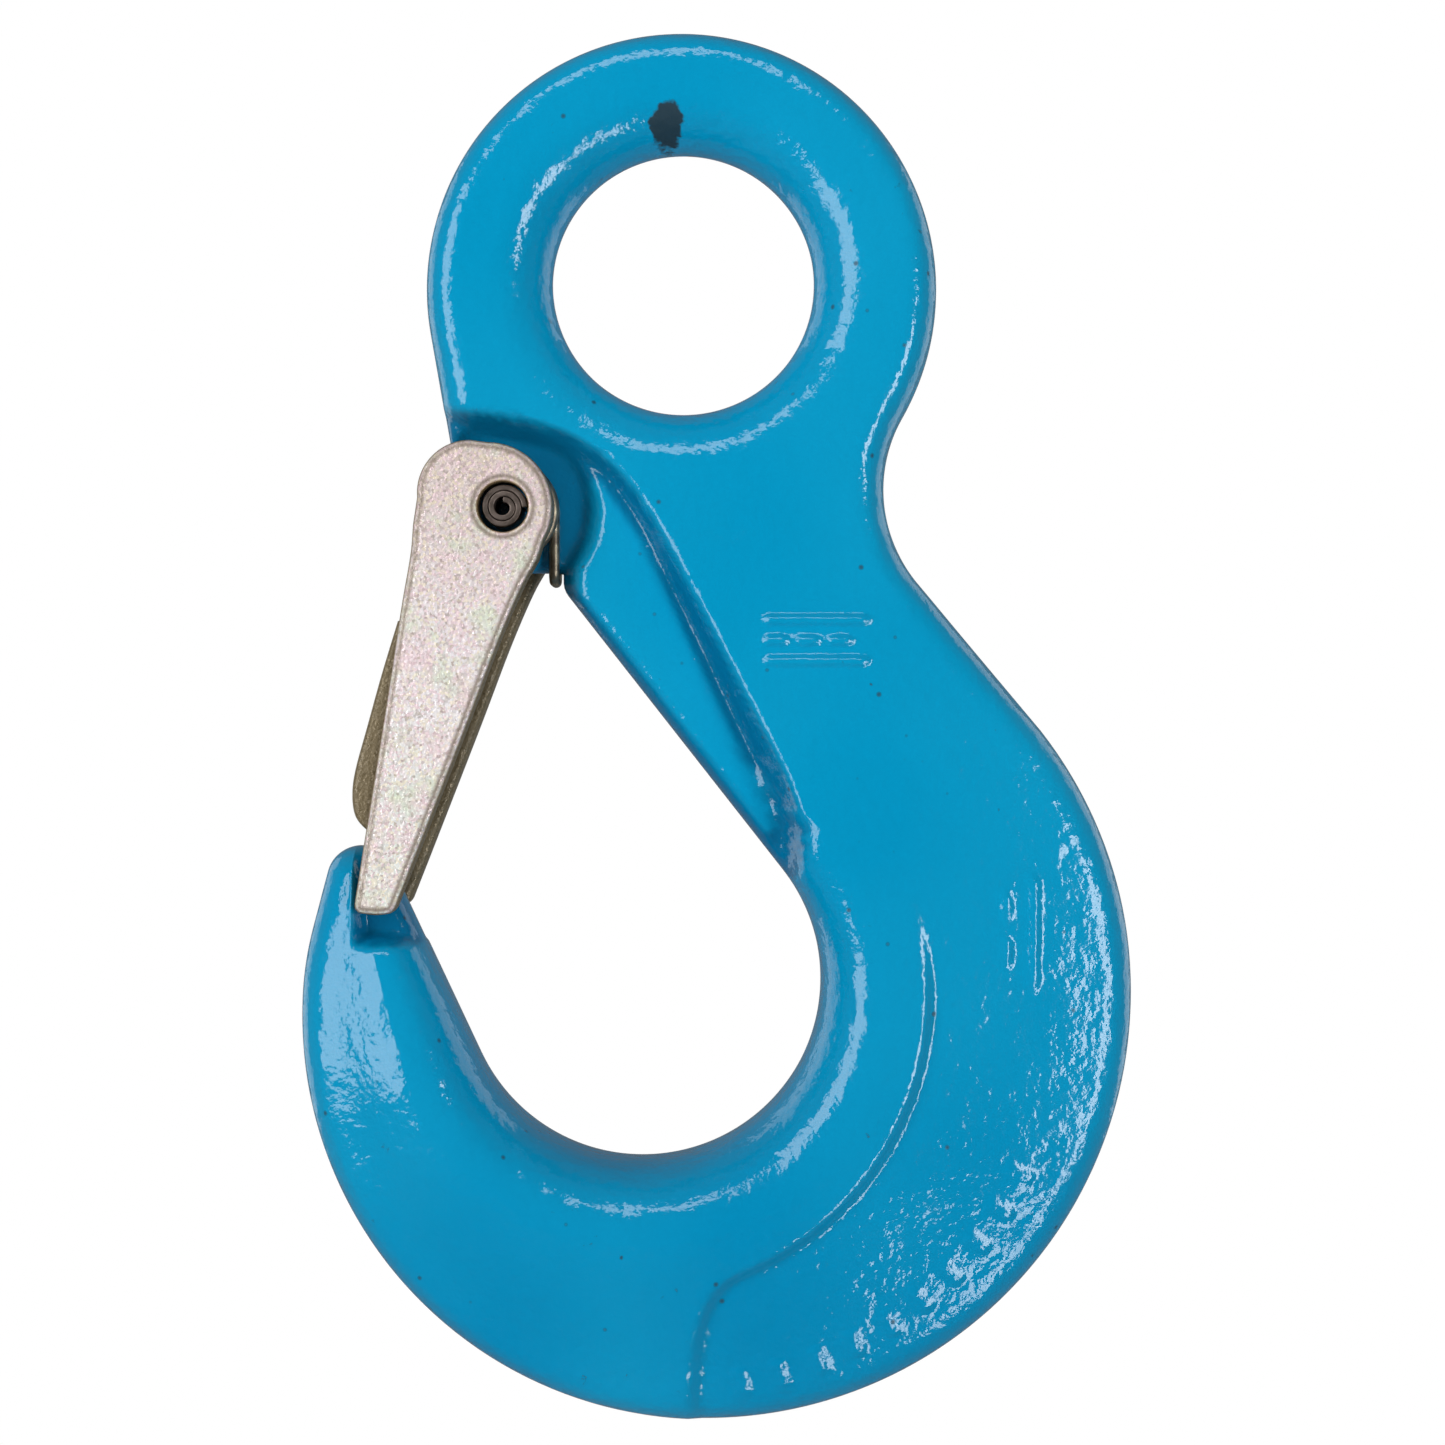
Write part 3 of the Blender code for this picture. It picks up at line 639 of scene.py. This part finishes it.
def strip_mesh(name, low, high, half_width, radius, cells=6):
    """A strip between two matching curves of the X-Z plane: a rounded rectangle of that width along Y is
    swept along them, and its ends are flat."""
    turn = np.linspace(0.0, np.pi / 2, cells)
    near, far = 1.0 - np.cos(turn), 1.0 - np.sin(turn)
    run = high - low
    share = radius / np.sqrt((run**2).sum(1)).mean()
    across = np.concatenate([share * near, 1.0 - share * far, 1.0 - share * near, share * far])
    along_y = np.concatenate([half_width - radius * far, half_width - radius * near])
    along_y = np.concatenate([along_y, -along_y])
    across, along_y = np.append(across, across[0]), np.append(along_y, along_y[0])
    across = np.vstack([np.full_like(across, 0.5), np.tile(across, (len(low), 1)), np.full_like(across, 0.5)])
    low, run = (np.vstack([c[:1], c, c[-1:]]) for c in (low, run))
    flat = low[:, None] + across[..., None] * run[:, None]
    depth = np.tile(along_y, (len(low), 1))
    corners = np.stack([flat[..., 0], depth, flat[..., 1]], axis=-1)
    return weld(name, corners.reshape(-1, 3) * MM, grid_quads(*depth.shape), np.full(depth.size, 5.0))


def bridge_mesh():
    """The bridge: outside it is the thumb's hump, and inside it runs straight down to the toe's side."""
    outside = resample(curve_through(HUMP), 60)
    top, low = np.array(LATCH_LEFT[-2]), np.array(LATCH_LEFT[-1])
    run = (low - top) / np.sqrt(((low - top) ** 2).sum())
    to_right = np.array([-run[1], run[0]])
    end = top + run * BRIDGE_LENGTH + to_right * BRIDGE_INSET
    inside = resample([outside[0] + to_right * BRIDGE_WALL, end], 60)
    return strip_mesh("bridge", inside, outside, BRIDGE_HALF, BRIDGE_ROUND)


def pin_mesh():
    """The coiled pin: a strip that winds inward round the pin's axis for two turns and a quarter."""
    turn = np.linspace(0.0, PIN_TURNS * 2 * np.pi, 260)
    wall = (PIN_R - PIN_BORE_R) / PIN_TURNS
    outer_r = PIN_R - wall * turn / (2 * np.pi)
    ray = np.column_stack([np.cos(turn), np.sin(turn)])
    outer, inner = (np.array(PIN) + r[:, None] * ray for r in (outer_r, outer_r - wall + PIN_GAP))
    return strip_mesh("pin", inner, outer, PIN_HALF, PIN_ROUND)


def spring_path(side):
    """Half of the spring's centreline: from the leg's end, round the coil and down to the loop's middle."""
    heading = np.array([-sin(radians(LEG_START)), cos(radians(LEG_START))])
    start = polar(PIN, COIL_R, LEG_START)
    turns = 1.0 + LEG_START / 360.0
    outer_y = COIL_INNER_Y + COIL_PITCH * turns
    leg = [(*(start + heading * reach), outer_y) for reach in np.linspace(LEG_LENGTH, 0.3, 30)]
    coil = [(*polar(PIN, COIL_R, LEG_START - 360.0 * turns * s), outer_y - COIL_PITCH * turns * s)
            for s in np.linspace(0.0, 1.0, 220)]
    edge = PIN[0] + COIL_R
    down = [(edge, z, COIL_INNER_Y) for z in np.linspace(PIN[1] - 0.3, LOOP_Z + LOOP_BEND, 20)]
    bend = [(edge, LOOP_Z + LOOP_BEND * (1.0 - sin(a)), COIL_INNER_Y - LOOP_BEND * (1.0 - cos(a)))
            for a in np.radians(np.linspace(6.0, 90.0, 15))]
    points = np.array([*leg, *coil, *down, *bend, (edge, LOOP_Z, 0.0)])
    return np.column_stack([points[:, 0], side * points[:, 2], points[:, 1]])


def tube_mesh(name, path, radius, sides=18):
    """A round wire along a path: each ring's frame is carried on from the last with no twist, and both
    ends are domed."""
    tangent = np.gradient(path, axis=0)
    tangent /= np.sqrt((tangent**2).sum(1))[:, None]
    normal = np.cross(tangent[0], (0.3, 1.0, 0.2))
    frames = []
    for t in tangent:
        normal = normal - t * (normal @ t)
        normal = normal / np.sqrt(normal @ normal)
        frames.append((normal, np.cross(t, normal)))
    frames = np.array(frames)
    dome = np.linspace(0.0, np.pi / 2, 6)[:-1]
    centres = np.vstack([path[0] - tangent[0] * radius * np.cos(dome)[:, None], path,
                         (path[-1] + tangent[-1] * radius * np.cos(dome)[:, None])[::-1]])
    sizes = np.concatenate([radius * np.sin(dome), np.full(len(path), radius), radius * np.sin(dome)[::-1]])
    ends = (np.repeat(frames[:1], len(dome), axis=0), frames, np.repeat(frames[-1:], len(dome), axis=0))
    frames = np.concatenate(ends)
    turn = np.linspace(0.0, 2 * np.pi, sides + 1)
    ring = frames[:, :1] * np.cos(turn)[:, None] + frames[:, 1:] * np.sin(turn)[:, None]
    corners = centres[:, None] + sizes[:, None, None] * ring
    return weld(name, corners.reshape(-1, 3) * MM, grid_quads(len(centres), sides + 1))


class Value:
    """A number or colour that a node gives, with arithmetic that adds Math nodes."""

    def __init__(self, finish, socket):
        self.finish, self.socket = finish, socket

    def math(self, operation, *others, clamp=False):
        return self.finish.add("ShaderNodeMath", {"operation": operation, "use_clamp": clamp}, self, *others)

    def __add__(self, other):
        return self.math("ADD", other)

    def __radd__(self, other):
        return self.math("ADD", other)

    def __sub__(self, other):
        return self.math("SUBTRACT", other)

    def __rsub__(self, other):
        return self.finish.add("ShaderNodeMath", {"operation": "SUBTRACT"}, other, self)

    def __mul__(self, other):
        return self.math("MULTIPLY", other)

    def __rmul__(self, other):
        return self.math("MULTIPLY", other)

    def __truediv__(self, other):
        return self.math("DIVIDE", other)

    def __rtruediv__(self, other):
        return self.finish.add("ShaderNodeMath", {"operation": "DIVIDE"}, other, self)

    def between(self, start, end):
        """0 where this is at start, 1 where it is at end, and held to that range."""
        return ((self - start) / (end - start)).math("ADD", 0.0, clamp=True)


class Finish:
    """A node material round one Principled shader."""

    def __init__(self, name):
        self.material = bpy.data.materials.new(name)
        self.material.use_nodes = True
        self.tree = self.material.node_tree
        self.shader = self.tree.nodes["Principled BSDF"]
        self.place = self.add("ShaderNodeTexCoord", {}, output="Object")

    def add(self, kind, settings, *inputs, output=0, **named):
        """Any node: its type, its settings, then its inputs in order or by name."""
        node = self.tree.nodes.new(kind)
        for key, value in settings.items():
            setattr(node, key, value)
        for key, value in [*enumerate(inputs), *named.items()]:
            self.feed(node.inputs[key], value)
        return Value(self, node.outputs[output])

    def feed(self, socket, value):
        if isinstance(value, Value):
            self.tree.links.new(value.socket, socket)
        elif value is not None:
            socket.default_value = value

    def set(self, **inputs):
        """Feeds the shader's inputs, named with spaces as underscores."""
        for name, value in inputs.items():
            self.feed(self.shader.inputs[name.replace("_", " ")], value)

    def mapped(self, size=(1.0, 1.0, 1.0)):
        """Object coordinates in millimetres, stretched."""
        scale = tuple(1.0 / (MM * one) for one in size)
        return self.add("ShaderNodeMapping", {}, Vector=self.place, Scale=scale)

    def noise(self, size, detail=2.0):
        """Smooth noise from 0 to 1 whose lumps are about this many millimetres."""
        return self.add("ShaderNodeTexNoise", {}, Vector=self.mapped(), Scale=1.0 / size, Detail=detail)

    def mix(self, share, a, b):
        """One colour turning into another."""
        node = self.tree.nodes.new("ShaderNodeMix")
        node.data_type = "RGBA"
        for index, value in ((0, share), (6, a), (7, b)):
            self.feed(node.inputs[index], value)
        return Value(self, node.outputs[2])

    def bump(self, height, depth_mm, base=None):
        """A normal from a height that runs from 0 to 1 over this many millimetres."""
        return self.add("ShaderNodeBump", {}, Height=height, Distance=depth_mm * MM, Normal=base)

    def height_above(self, low_mm, high_mm):
        """0 at one height and 1 at another, in millimetres."""
        height = self.add("ShaderNodeSeparateXYZ", {}, self.mapped(), output="Z")
        return height.between(low_mm, high_mm)


def solid(colour):
    return (*colour, 1.0)


def paint_finish(settings):
    """Glossy enamel: a slightly uneven colour, with painted shade darker towards the bowl and on the recess's
    walls and valleys, orange peel, and a few dark specks and chips.
    """
    f = Finish("hook_enamel")
    tone = f.noise(34.0, 1.0)
    # Painted shade: the enamel turns to the darker low colour from the shank down to the bowl.
    colour = f.mix(f.height_above(-150.0, -60.0), solid(settings.low_colour), solid(settings.colour))
    colour = f.mix(tone.between(0.35, 0.7) * 0.35, colour, solid(settings.pale_colour))
    # Painted shade: the enamel turns darker on the recess's walls and valleys.
    hollow_shade = f.add("ShaderNodeAttribute", {"attribute_name": "cue"}, output="Fac")
    colour = f.mix(hollow_shade * 0.6, colour, solid(settings.deep_colour))
    cell = f.add("ShaderNodeTexVoronoi", {}, Vector=f.mapped(), Scale=1.0 / 5.5)
    speck = 1.0 - cell.between(0.035, 0.075)
    chip = f.noise(2.2, 4.0).between(0.71, 0.745) * f.noise(16.0, 1.0).between(0.5, 0.62)
    place = f.mapped((0.75, 5.0, 1.0))
    spot = f.add("ShaderNodeVectorMath", {"operation": "DISTANCE"}, place, SCUFF, output="Value")
    scuff = (spot + 3.0 * f.noise(1.6, 3.0)).between(4.4, 3.9)
    marks = (speck * 0.75 + chip * 0.8 + scuff).math("MINIMUM", 1.0)
    colour = f.mix(marks, colour, solid(settings.chip_colour))
    peel = f.bump(f.noise(1.1, 2.0), settings.peel_mm)
    wave = f.bump(f.noise(4.5, 2.0), settings.wave_mm, peel)
    f.set(Base_Color=colour, Roughness=settings.roughness + 0.1 * f.noise(3.0) + 0.4 * marks, Normal=wave)
    return f.material


def zinc_finish(settings):
    """Yellow-passivated zinc: coarse sparkling grain, paler to the toe, with painted shade on each rim, a
    dark line inside it, and on the sides and inside faces.
    """
    f = Finish("latch_passivated_zinc")
    colour = f.mix(f.height_above(-80.0, -50.0), solid(settings.low_colour), solid(settings.colour))
    colour = f.mix(f.height_above(-48.0, -24.0), colour, solid(settings.top_colour))
    grain = f.add("ShaderNodeTexVoronoi", {}, Vector=f.mapped(), Scale=1.0 / 0.34, output="Color")
    hue = f.add("ShaderNodeSeparateColor", {}, grain, output="Red")
    spark = f.add("ShaderNodeSeparateColor", {}, grain, output="Green")
    colour = f.mix(hue.between(0.55, 0.9) * 0.8, colour, solid(settings.pink))
    colour = f.mix(hue.between(0.38, 0.1) * 0.6, colour, solid(settings.gold))
    colour = f.mix(f.noise(4.0, 3.0).between(0.5, 0.66) * 0.6, colour, solid(settings.green))
    colour = f.mix(f.noise(3.0, 3.0).between(0.5, 0.34) * 0.5, colour, solid(settings.pink))
    colour = f.mix(spark.between(0.7, 1.0) * 0.6, colour, solid(settings.shadow))
    rim = f.add("ShaderNodeAttribute", {"attribute_name": "cue"}, output="Fac")
    # Painted shade: each rim turns to the edge colour, with a dark line just inside it.
    line = rim.between(0.25, 0.6) * (1.0 - rim.between(0.75, 1.15))
    colour = f.mix(1.0 - rim.between(0.05, 0.3), colour, solid(settings.edge))
    colour = f.mix(line * 0.85, colour, solid(settings.shadow))
    # Painted shade: everything nearer the middle than the cheeks' outer faces turns dark, the sides, the
    # insides and the bridge.
    depth = f.add("ShaderNodeSeparateXYZ", {}, f.mapped(), output="Y").math("ABSOLUTE")
    colour = f.mix(depth.between(9.75, 9.35), colour, solid(settings.side))
    lumps = f.bump(f.noise(0.45, 3.0), 0.16)
    f.set(Base_Color=colour, Roughness=0.22 + 0.3 * spark, Normal=lumps, Metallic=0.08 + 0.25 * hue)
    return f.material


def steel_finish(name, colour, dark, roughness, grain_mm):
    """Bare or blackened steel: mottled, with fine grain."""
    f = Finish(name)
    mottle = f.noise(grain_mm * 6.0, 3.0)
    grain = f.noise(grain_mm, 2.0)
    mixed = f.mix(mottle.between(0.35, 0.7), solid(dark), solid(colour))
    f.set(Base_Color=mixed, Roughness=roughness + 0.2 * grain, Normal=f.bump(grain, 0.02))
    f.shader.inputs["Metallic"].default_value = 0.85
    return f.material


def colour_property(name, default, description):
    return FloatVectorProperty(name=name, description=description, default=default, subtype="COLOR",
                               size=3, min=0.0, max=1.0)


class HookSettings(bpy.types.PropertyGroup):
    panel_depth: FloatProperty(
        name="Panel depth", description="How deep the bowl's outer panel lies", default=0.0013, unit="LENGTH")
    colour: colour_property("Colour", (0.0, 0.34, 0.62), "Enamel on the shank and eye")
    # Low colour is painted shade: the bowl darker than the shank.
    low_colour: colour_property("Low colour", (0.0, 0.265, 0.52), "Enamel on the bowl")
    pale_colour: colour_property("Pale colour", (0.01, 0.42, 0.70), "Enamel where it is thick")
    # Deep colour is painted shade on the recess's walls and valleys.
    deep_colour: colour_property("Deep colour", (0.0, 0.09, 0.24), "Enamel pooled in the hollows")
    chip_colour: colour_property("Chip colour", (0.012, 0.045, 0.07), "Chips and specks")
    peel_mm: FloatProperty(name="Orange peel", description="Height of the peel, in mm", default=0.11)
    wave_mm: FloatProperty(name="Waviness", description="Height of the waves, in mm", default=0.3)
    roughness: FloatProperty(name="Roughness", description="Roughness of clean enamel", default=0.05)


class LatchSettings(bpy.types.PropertyGroup):
    colour: colour_property("Colour", (1.0, 0.94, 0.97), "Plating at mid length")
    top_colour: colour_property("Top colour", (0.78, 0.67, 0.64), "Plating round the pin")
    low_colour: colour_property("Low colour", (0.96, 1.0, 0.94), "Plating near the toe")
    pink: colour_property("Pink", (1.0, 0.76, 0.80), "Pink grains")
    gold: colour_property("Gold", (0.96, 0.82, 0.58), "Gold grains")
    green: colour_property("Green", (0.76, 0.88, 0.66), "Green cast")
    # Shadow colour: real dark grains, and painted shade in the line inside each rim.
    shadow: colour_property("Shadow", (0.30, 0.24, 0.19), "Dark grains and the line inside the rim")
    # Edge colour is painted shade on the rims.
    edge: colour_property("Edge", (0.30, 0.20, 0.09), "Rims")
    # Side colour is painted shade on the sides and inside faces.
    side: colour_property("Side", (0.20, 0.155, 0.085), "Plating on the sides and inside")


class SpringSettings(bpy.types.PropertyGroup):
    colour: colour_property("Colour", (0.42, 0.37, 0.27), "Plated wire")
    dark: colour_property("Dark", (0.16, 0.13, 0.10), "Grime on the wire")
    roughness: FloatProperty(name="Roughness", description="Roughness of the wire", default=0.3)


class PinSettings(bpy.types.PropertyGroup):
    colour: colour_property("Colour", (0.26, 0.21, 0.185), "Blackened steel")
    dark: colour_property("Dark", (0.12, 0.095, 0.08), "Oxide")
    roughness: FloatProperty(name="Roughness", description="Roughness of the pin", default=0.35)


class StageSettings(bpy.types.PropertyGroup):
    distance: FloatProperty(name="Distance", description="Camera to the hook", default=0.32, unit="LENGTH")
    width: FloatProperty(name="Width", description="Frame width at the hook", default=0.1884, unit="LENGTH")
    aim_x: FloatProperty(name="Aim X", description="Camera's X", default=0.0051, unit="LENGTH")
    aim_z: FloatProperty(name="Aim Z", description="Camera's Z", default=-0.0570, unit="LENGTH")
    side_power: FloatProperty(name="Side lights", description="Power that the front side lights share",
                              default=2.6)
    top_power: FloatProperty(name="Top light", description="Power of the top softbox", default=1.6)
    back_power: FloatProperty(name="Back lights", description="Power of each rear softbox", default=1.0)
    floor_drop: FloatProperty(name="Floor drop", description="Floor below the hook", default=0.15,
                              unit="LENGTH")


def place_piece(name, mesh, material, body, node):
    """The piece as an object at the origin, riding on its body in place of its CAD node."""
    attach(link_piece(name, mesh, material, node), body)


def link_piece(name, mesh, material, node):
    """The mesh as a finished object that stands in for a CAD node."""
    piece = bpy.data.objects.new(name, mesh)
    bpy.context.scene.collection.objects.link(piece)
    mesh.materials.append(material)
    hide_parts(node)
    return piece


class EYEHOOK_OT_hook(bpy.types.Operator):
    """Make the forged body"""

    bl_idname = "eyehook.hook"
    bl_label = "Forged body"

    def execute(self, context):
        settings = context.scene.eyehook_hook
        mesh = hook_mesh(settings.panel_depth / MM)
        place_piece("forged_hook", mesh, paint_finish(settings), "hook", "hook_body")
        return {"FINISHED"}


class EYEHOOK_OT_latch(bpy.types.Operator):
    """Make the latch's cheeks and the bridge between them"""

    bl_idname = "eyehook.latch"
    bl_label = "Latch"

    def execute(self, context):
        material = zinc_finish(context.scene.eyehook_latch)
        meshes = {"latch_cheek_front": cheek_mesh(-1.0), "latch_cheek_back": cheek_mesh(1.0),
                  "latch_bridge": bridge_mesh()}
        for name, mesh in meshes.items():
            place_piece(name, mesh, material, "latch", "latch")
        return {"FINISHED"}


class EYEHOOK_OT_spring(bpy.types.Operator):
    """Make the two halves of the spring"""

    bl_idname = "eyehook.spring"
    bl_label = "Spring"

    def execute(self, context):
        settings = context.scene.eyehook_spring
        material = steel_finish("spring_wire", settings.colour, settings.dark, settings.roughness, 0.3)
        for name, side in (("spring_front", -1.0), ("spring_back", 1.0)):
            path = spring_path(side)
            wire = link_piece(name, tube_mesh(name, path, WIRE_R), material, "latch_spring")
            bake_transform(wire)
        return {"FINISHED"}


class EYEHOOK_OT_pin(bpy.types.Operator):
    """Make the coiled pivot pin"""

    bl_idname = "eyehook.pin"
    bl_label = "Pivot pin"

    def execute(self, context):
        settings = context.scene.eyehook_pin
        material = steel_finish("pin_blackened", settings.colour, settings.dark, settings.roughness, 0.25)
        place_piece("coiled_pin", pin_mesh(), material, "hook", "pivot_pin")
        return {"FINISHED"}


def softbox(name, size, power, place, target):
    """A rectangular light at a place, turned to a target."""
    light = bpy.data.lights.new(name, "AREA")
    light.shape, light.size, light.size_y = "RECTANGLE", size[0], size[1]
    light.energy = power
    lamp = bpy.data.objects.new(name, light)
    lamp.location = place
    lamp.rotation_euler = (Vector(target) - Vector(place)).to_track_quat("-Z", "Y").to_euler()
    lamp.visible_camera = False
    bpy.context.scene.collection.objects.link(lamp)
    lamp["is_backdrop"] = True


def studio_world():
    """White to the eye. To everything else it is dim in front of the hook and brighter behind it."""
    world = bpy.data.worlds.new("studio")
    world.use_nodes = True
    nodes, links = world.node_tree.nodes, world.node_tree.links
    background = nodes["Background"]
    ray = nodes.new("ShaderNodeLightPath")
    spot = nodes.new("ShaderNodeTexCoord")
    split_axes = nodes.new("ShaderNodeSeparateXYZ")
    links.new(spot.outputs["Generated"], split_axes.inputs[0])
    shade = nodes.new("ShaderNodeMapRange")
    shade.interpolation_type = "SMOOTHSTEP"
    shade.inputs["From Min"].default_value, shade.inputs["From Max"].default_value = WORLD_TURN
    shade.inputs["To Min"].default_value, shade.inputs["To Max"].default_value = WORLD_STRENGTH
    links.new(split_axes.outputs["Y"], shade.inputs["Value"])
    seen = nodes.new("ShaderNodeMath")
    seen.operation = "MAXIMUM"
    links.new(ray.outputs["Is Camera Ray"], seen.inputs[0])
    links.new(shade.outputs[0], seen.inputs[1])
    links.new(seen.outputs[0], background.inputs["Strength"])
    background.inputs["Color"].default_value = (1.0, 1.0, 1.0, 1.0)
    bpy.context.scene.world = world


class EYEHOOK_OT_stage(bpy.types.Operator):
    """Make the floor, the lights and the camera"""

    bl_idname = "eyehook.stage"
    bl_label = "Stage"

    def execute(self, context):
        settings = context.scene.eyehook_stage
        low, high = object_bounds()
        centre = (low + high) / 2
        x, z = settings.aim_x, settings.aim_z
        studio_world()
        make_floor((centre.x, centre.y, low.z - settings.floor_drop))
        aim = (centre.x, 0.0, centre.z)
        for name, size, setting, share, (right, back, up) in LIGHTS:
            softbox(name, size, share * getattr(settings, setting), (x + right, back, z + up), aim)
        make_camera((x, -settings.distance, z), settings)
        context.scene.view_settings.view_transform = "Standard"
        return {"FINISHED"}


def make_floor(centre):
    """A plain pale disc."""
    turn = np.linspace(0.0, 2 * np.pi, FLOOR_SIDES + 1)[:-1]
    disc = np.column_stack([np.cos(turn), np.sin(turn), np.zeros(FLOOR_SIDES)])
    corners = FLOOR_R * disc + np.array(centre)
    mesh = bpy.data.meshes.new("floor")
    mesh.from_pydata(corners, [], [list(range(FLOOR_SIDES))])
    f = Finish("floor_pale")
    tone = f.noise(60.0, 2.0)
    f.set(Base_Color=f.mix(tone, (0.86, 0.86, 0.86, 1.0), (0.9, 0.9, 0.9, 1.0)), Roughness=0.6 + 0.1 * tone)
    mesh.materials.append(f.material)
    floor = bpy.data.objects.new("floor", mesh)
    floor.visible_glossy = False
    bpy.context.scene.collection.objects.link(floor)
    floor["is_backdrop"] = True


def make_camera(spot, settings):
    """A level camera that looks along +Y, with the frame's width at the hook as set."""
    lens = bpy.data.cameras.new("camera")
    lens.sensor_width = 36.0
    lens.lens = lens.sensor_width * settings.distance / settings.width
    lens.clip_start = 0.01
    camera = bpy.data.objects.new("camera", lens)
    camera.location = spot
    camera.rotation_euler = (np.pi / 2, 0.0, 0.0)
    bpy.context.scene.collection.objects.link(camera)
    bpy.context.scene.camera = camera


class EYEHOOK_PT_panel(bpy.types.Panel):
    """The eye hook's settings and steps"""

    bl_label = "Eye hook"
    bl_idname = "EYEHOOK_PT_panel"
    bl_space_type = "VIEW_3D"
    bl_region_type = "UI"
    bl_category = "Eye Hook"

    def draw(self, context):
        for name, (_, operator) in SETTINGS.items():
            box = self.layout.box()
            box.operator(operator.bl_idname)
            group = getattr(context.scene, name)
            for key in group.__annotations__:
                box.prop(group, key)


SETTINGS = {
    "eyehook_hook": (HookSettings, EYEHOOK_OT_hook),
    "eyehook_latch": (LatchSettings, EYEHOOK_OT_latch),
    "eyehook_spring": (SpringSettings, EYEHOOK_OT_spring),
    "eyehook_pin": (PinSettings, EYEHOOK_OT_pin),
    "eyehook_stage": (StageSettings, EYEHOOK_OT_stage),
}


def register():
    for name, (group, operator) in SETTINGS.items():
        bpy.utils.register_class(group)
        bpy.utils.register_class(operator)
        setattr(bpy.types.Scene, name, PointerProperty(type=group))
    bpy.utils.register_class(EYEHOOK_PT_panel)


def unregister():
    bpy.utils.unregister_class(EYEHOOK_PT_panel)
    for name, (group, operator) in reversed(SETTINGS.items()):
        delattr(bpy.types.Scene, name)
        bpy.utils.unregister_class(operator)
        bpy.utils.unregister_class(group)


def main():
    register()
    bpy.ops.eyehook.hook()
    bpy.ops.eyehook.latch()
    bpy.ops.eyehook.spring()
    bpy.ops.eyehook.pin()
    bpy.ops.eyehook.stage()


if __name__ == "__main__":
    main()
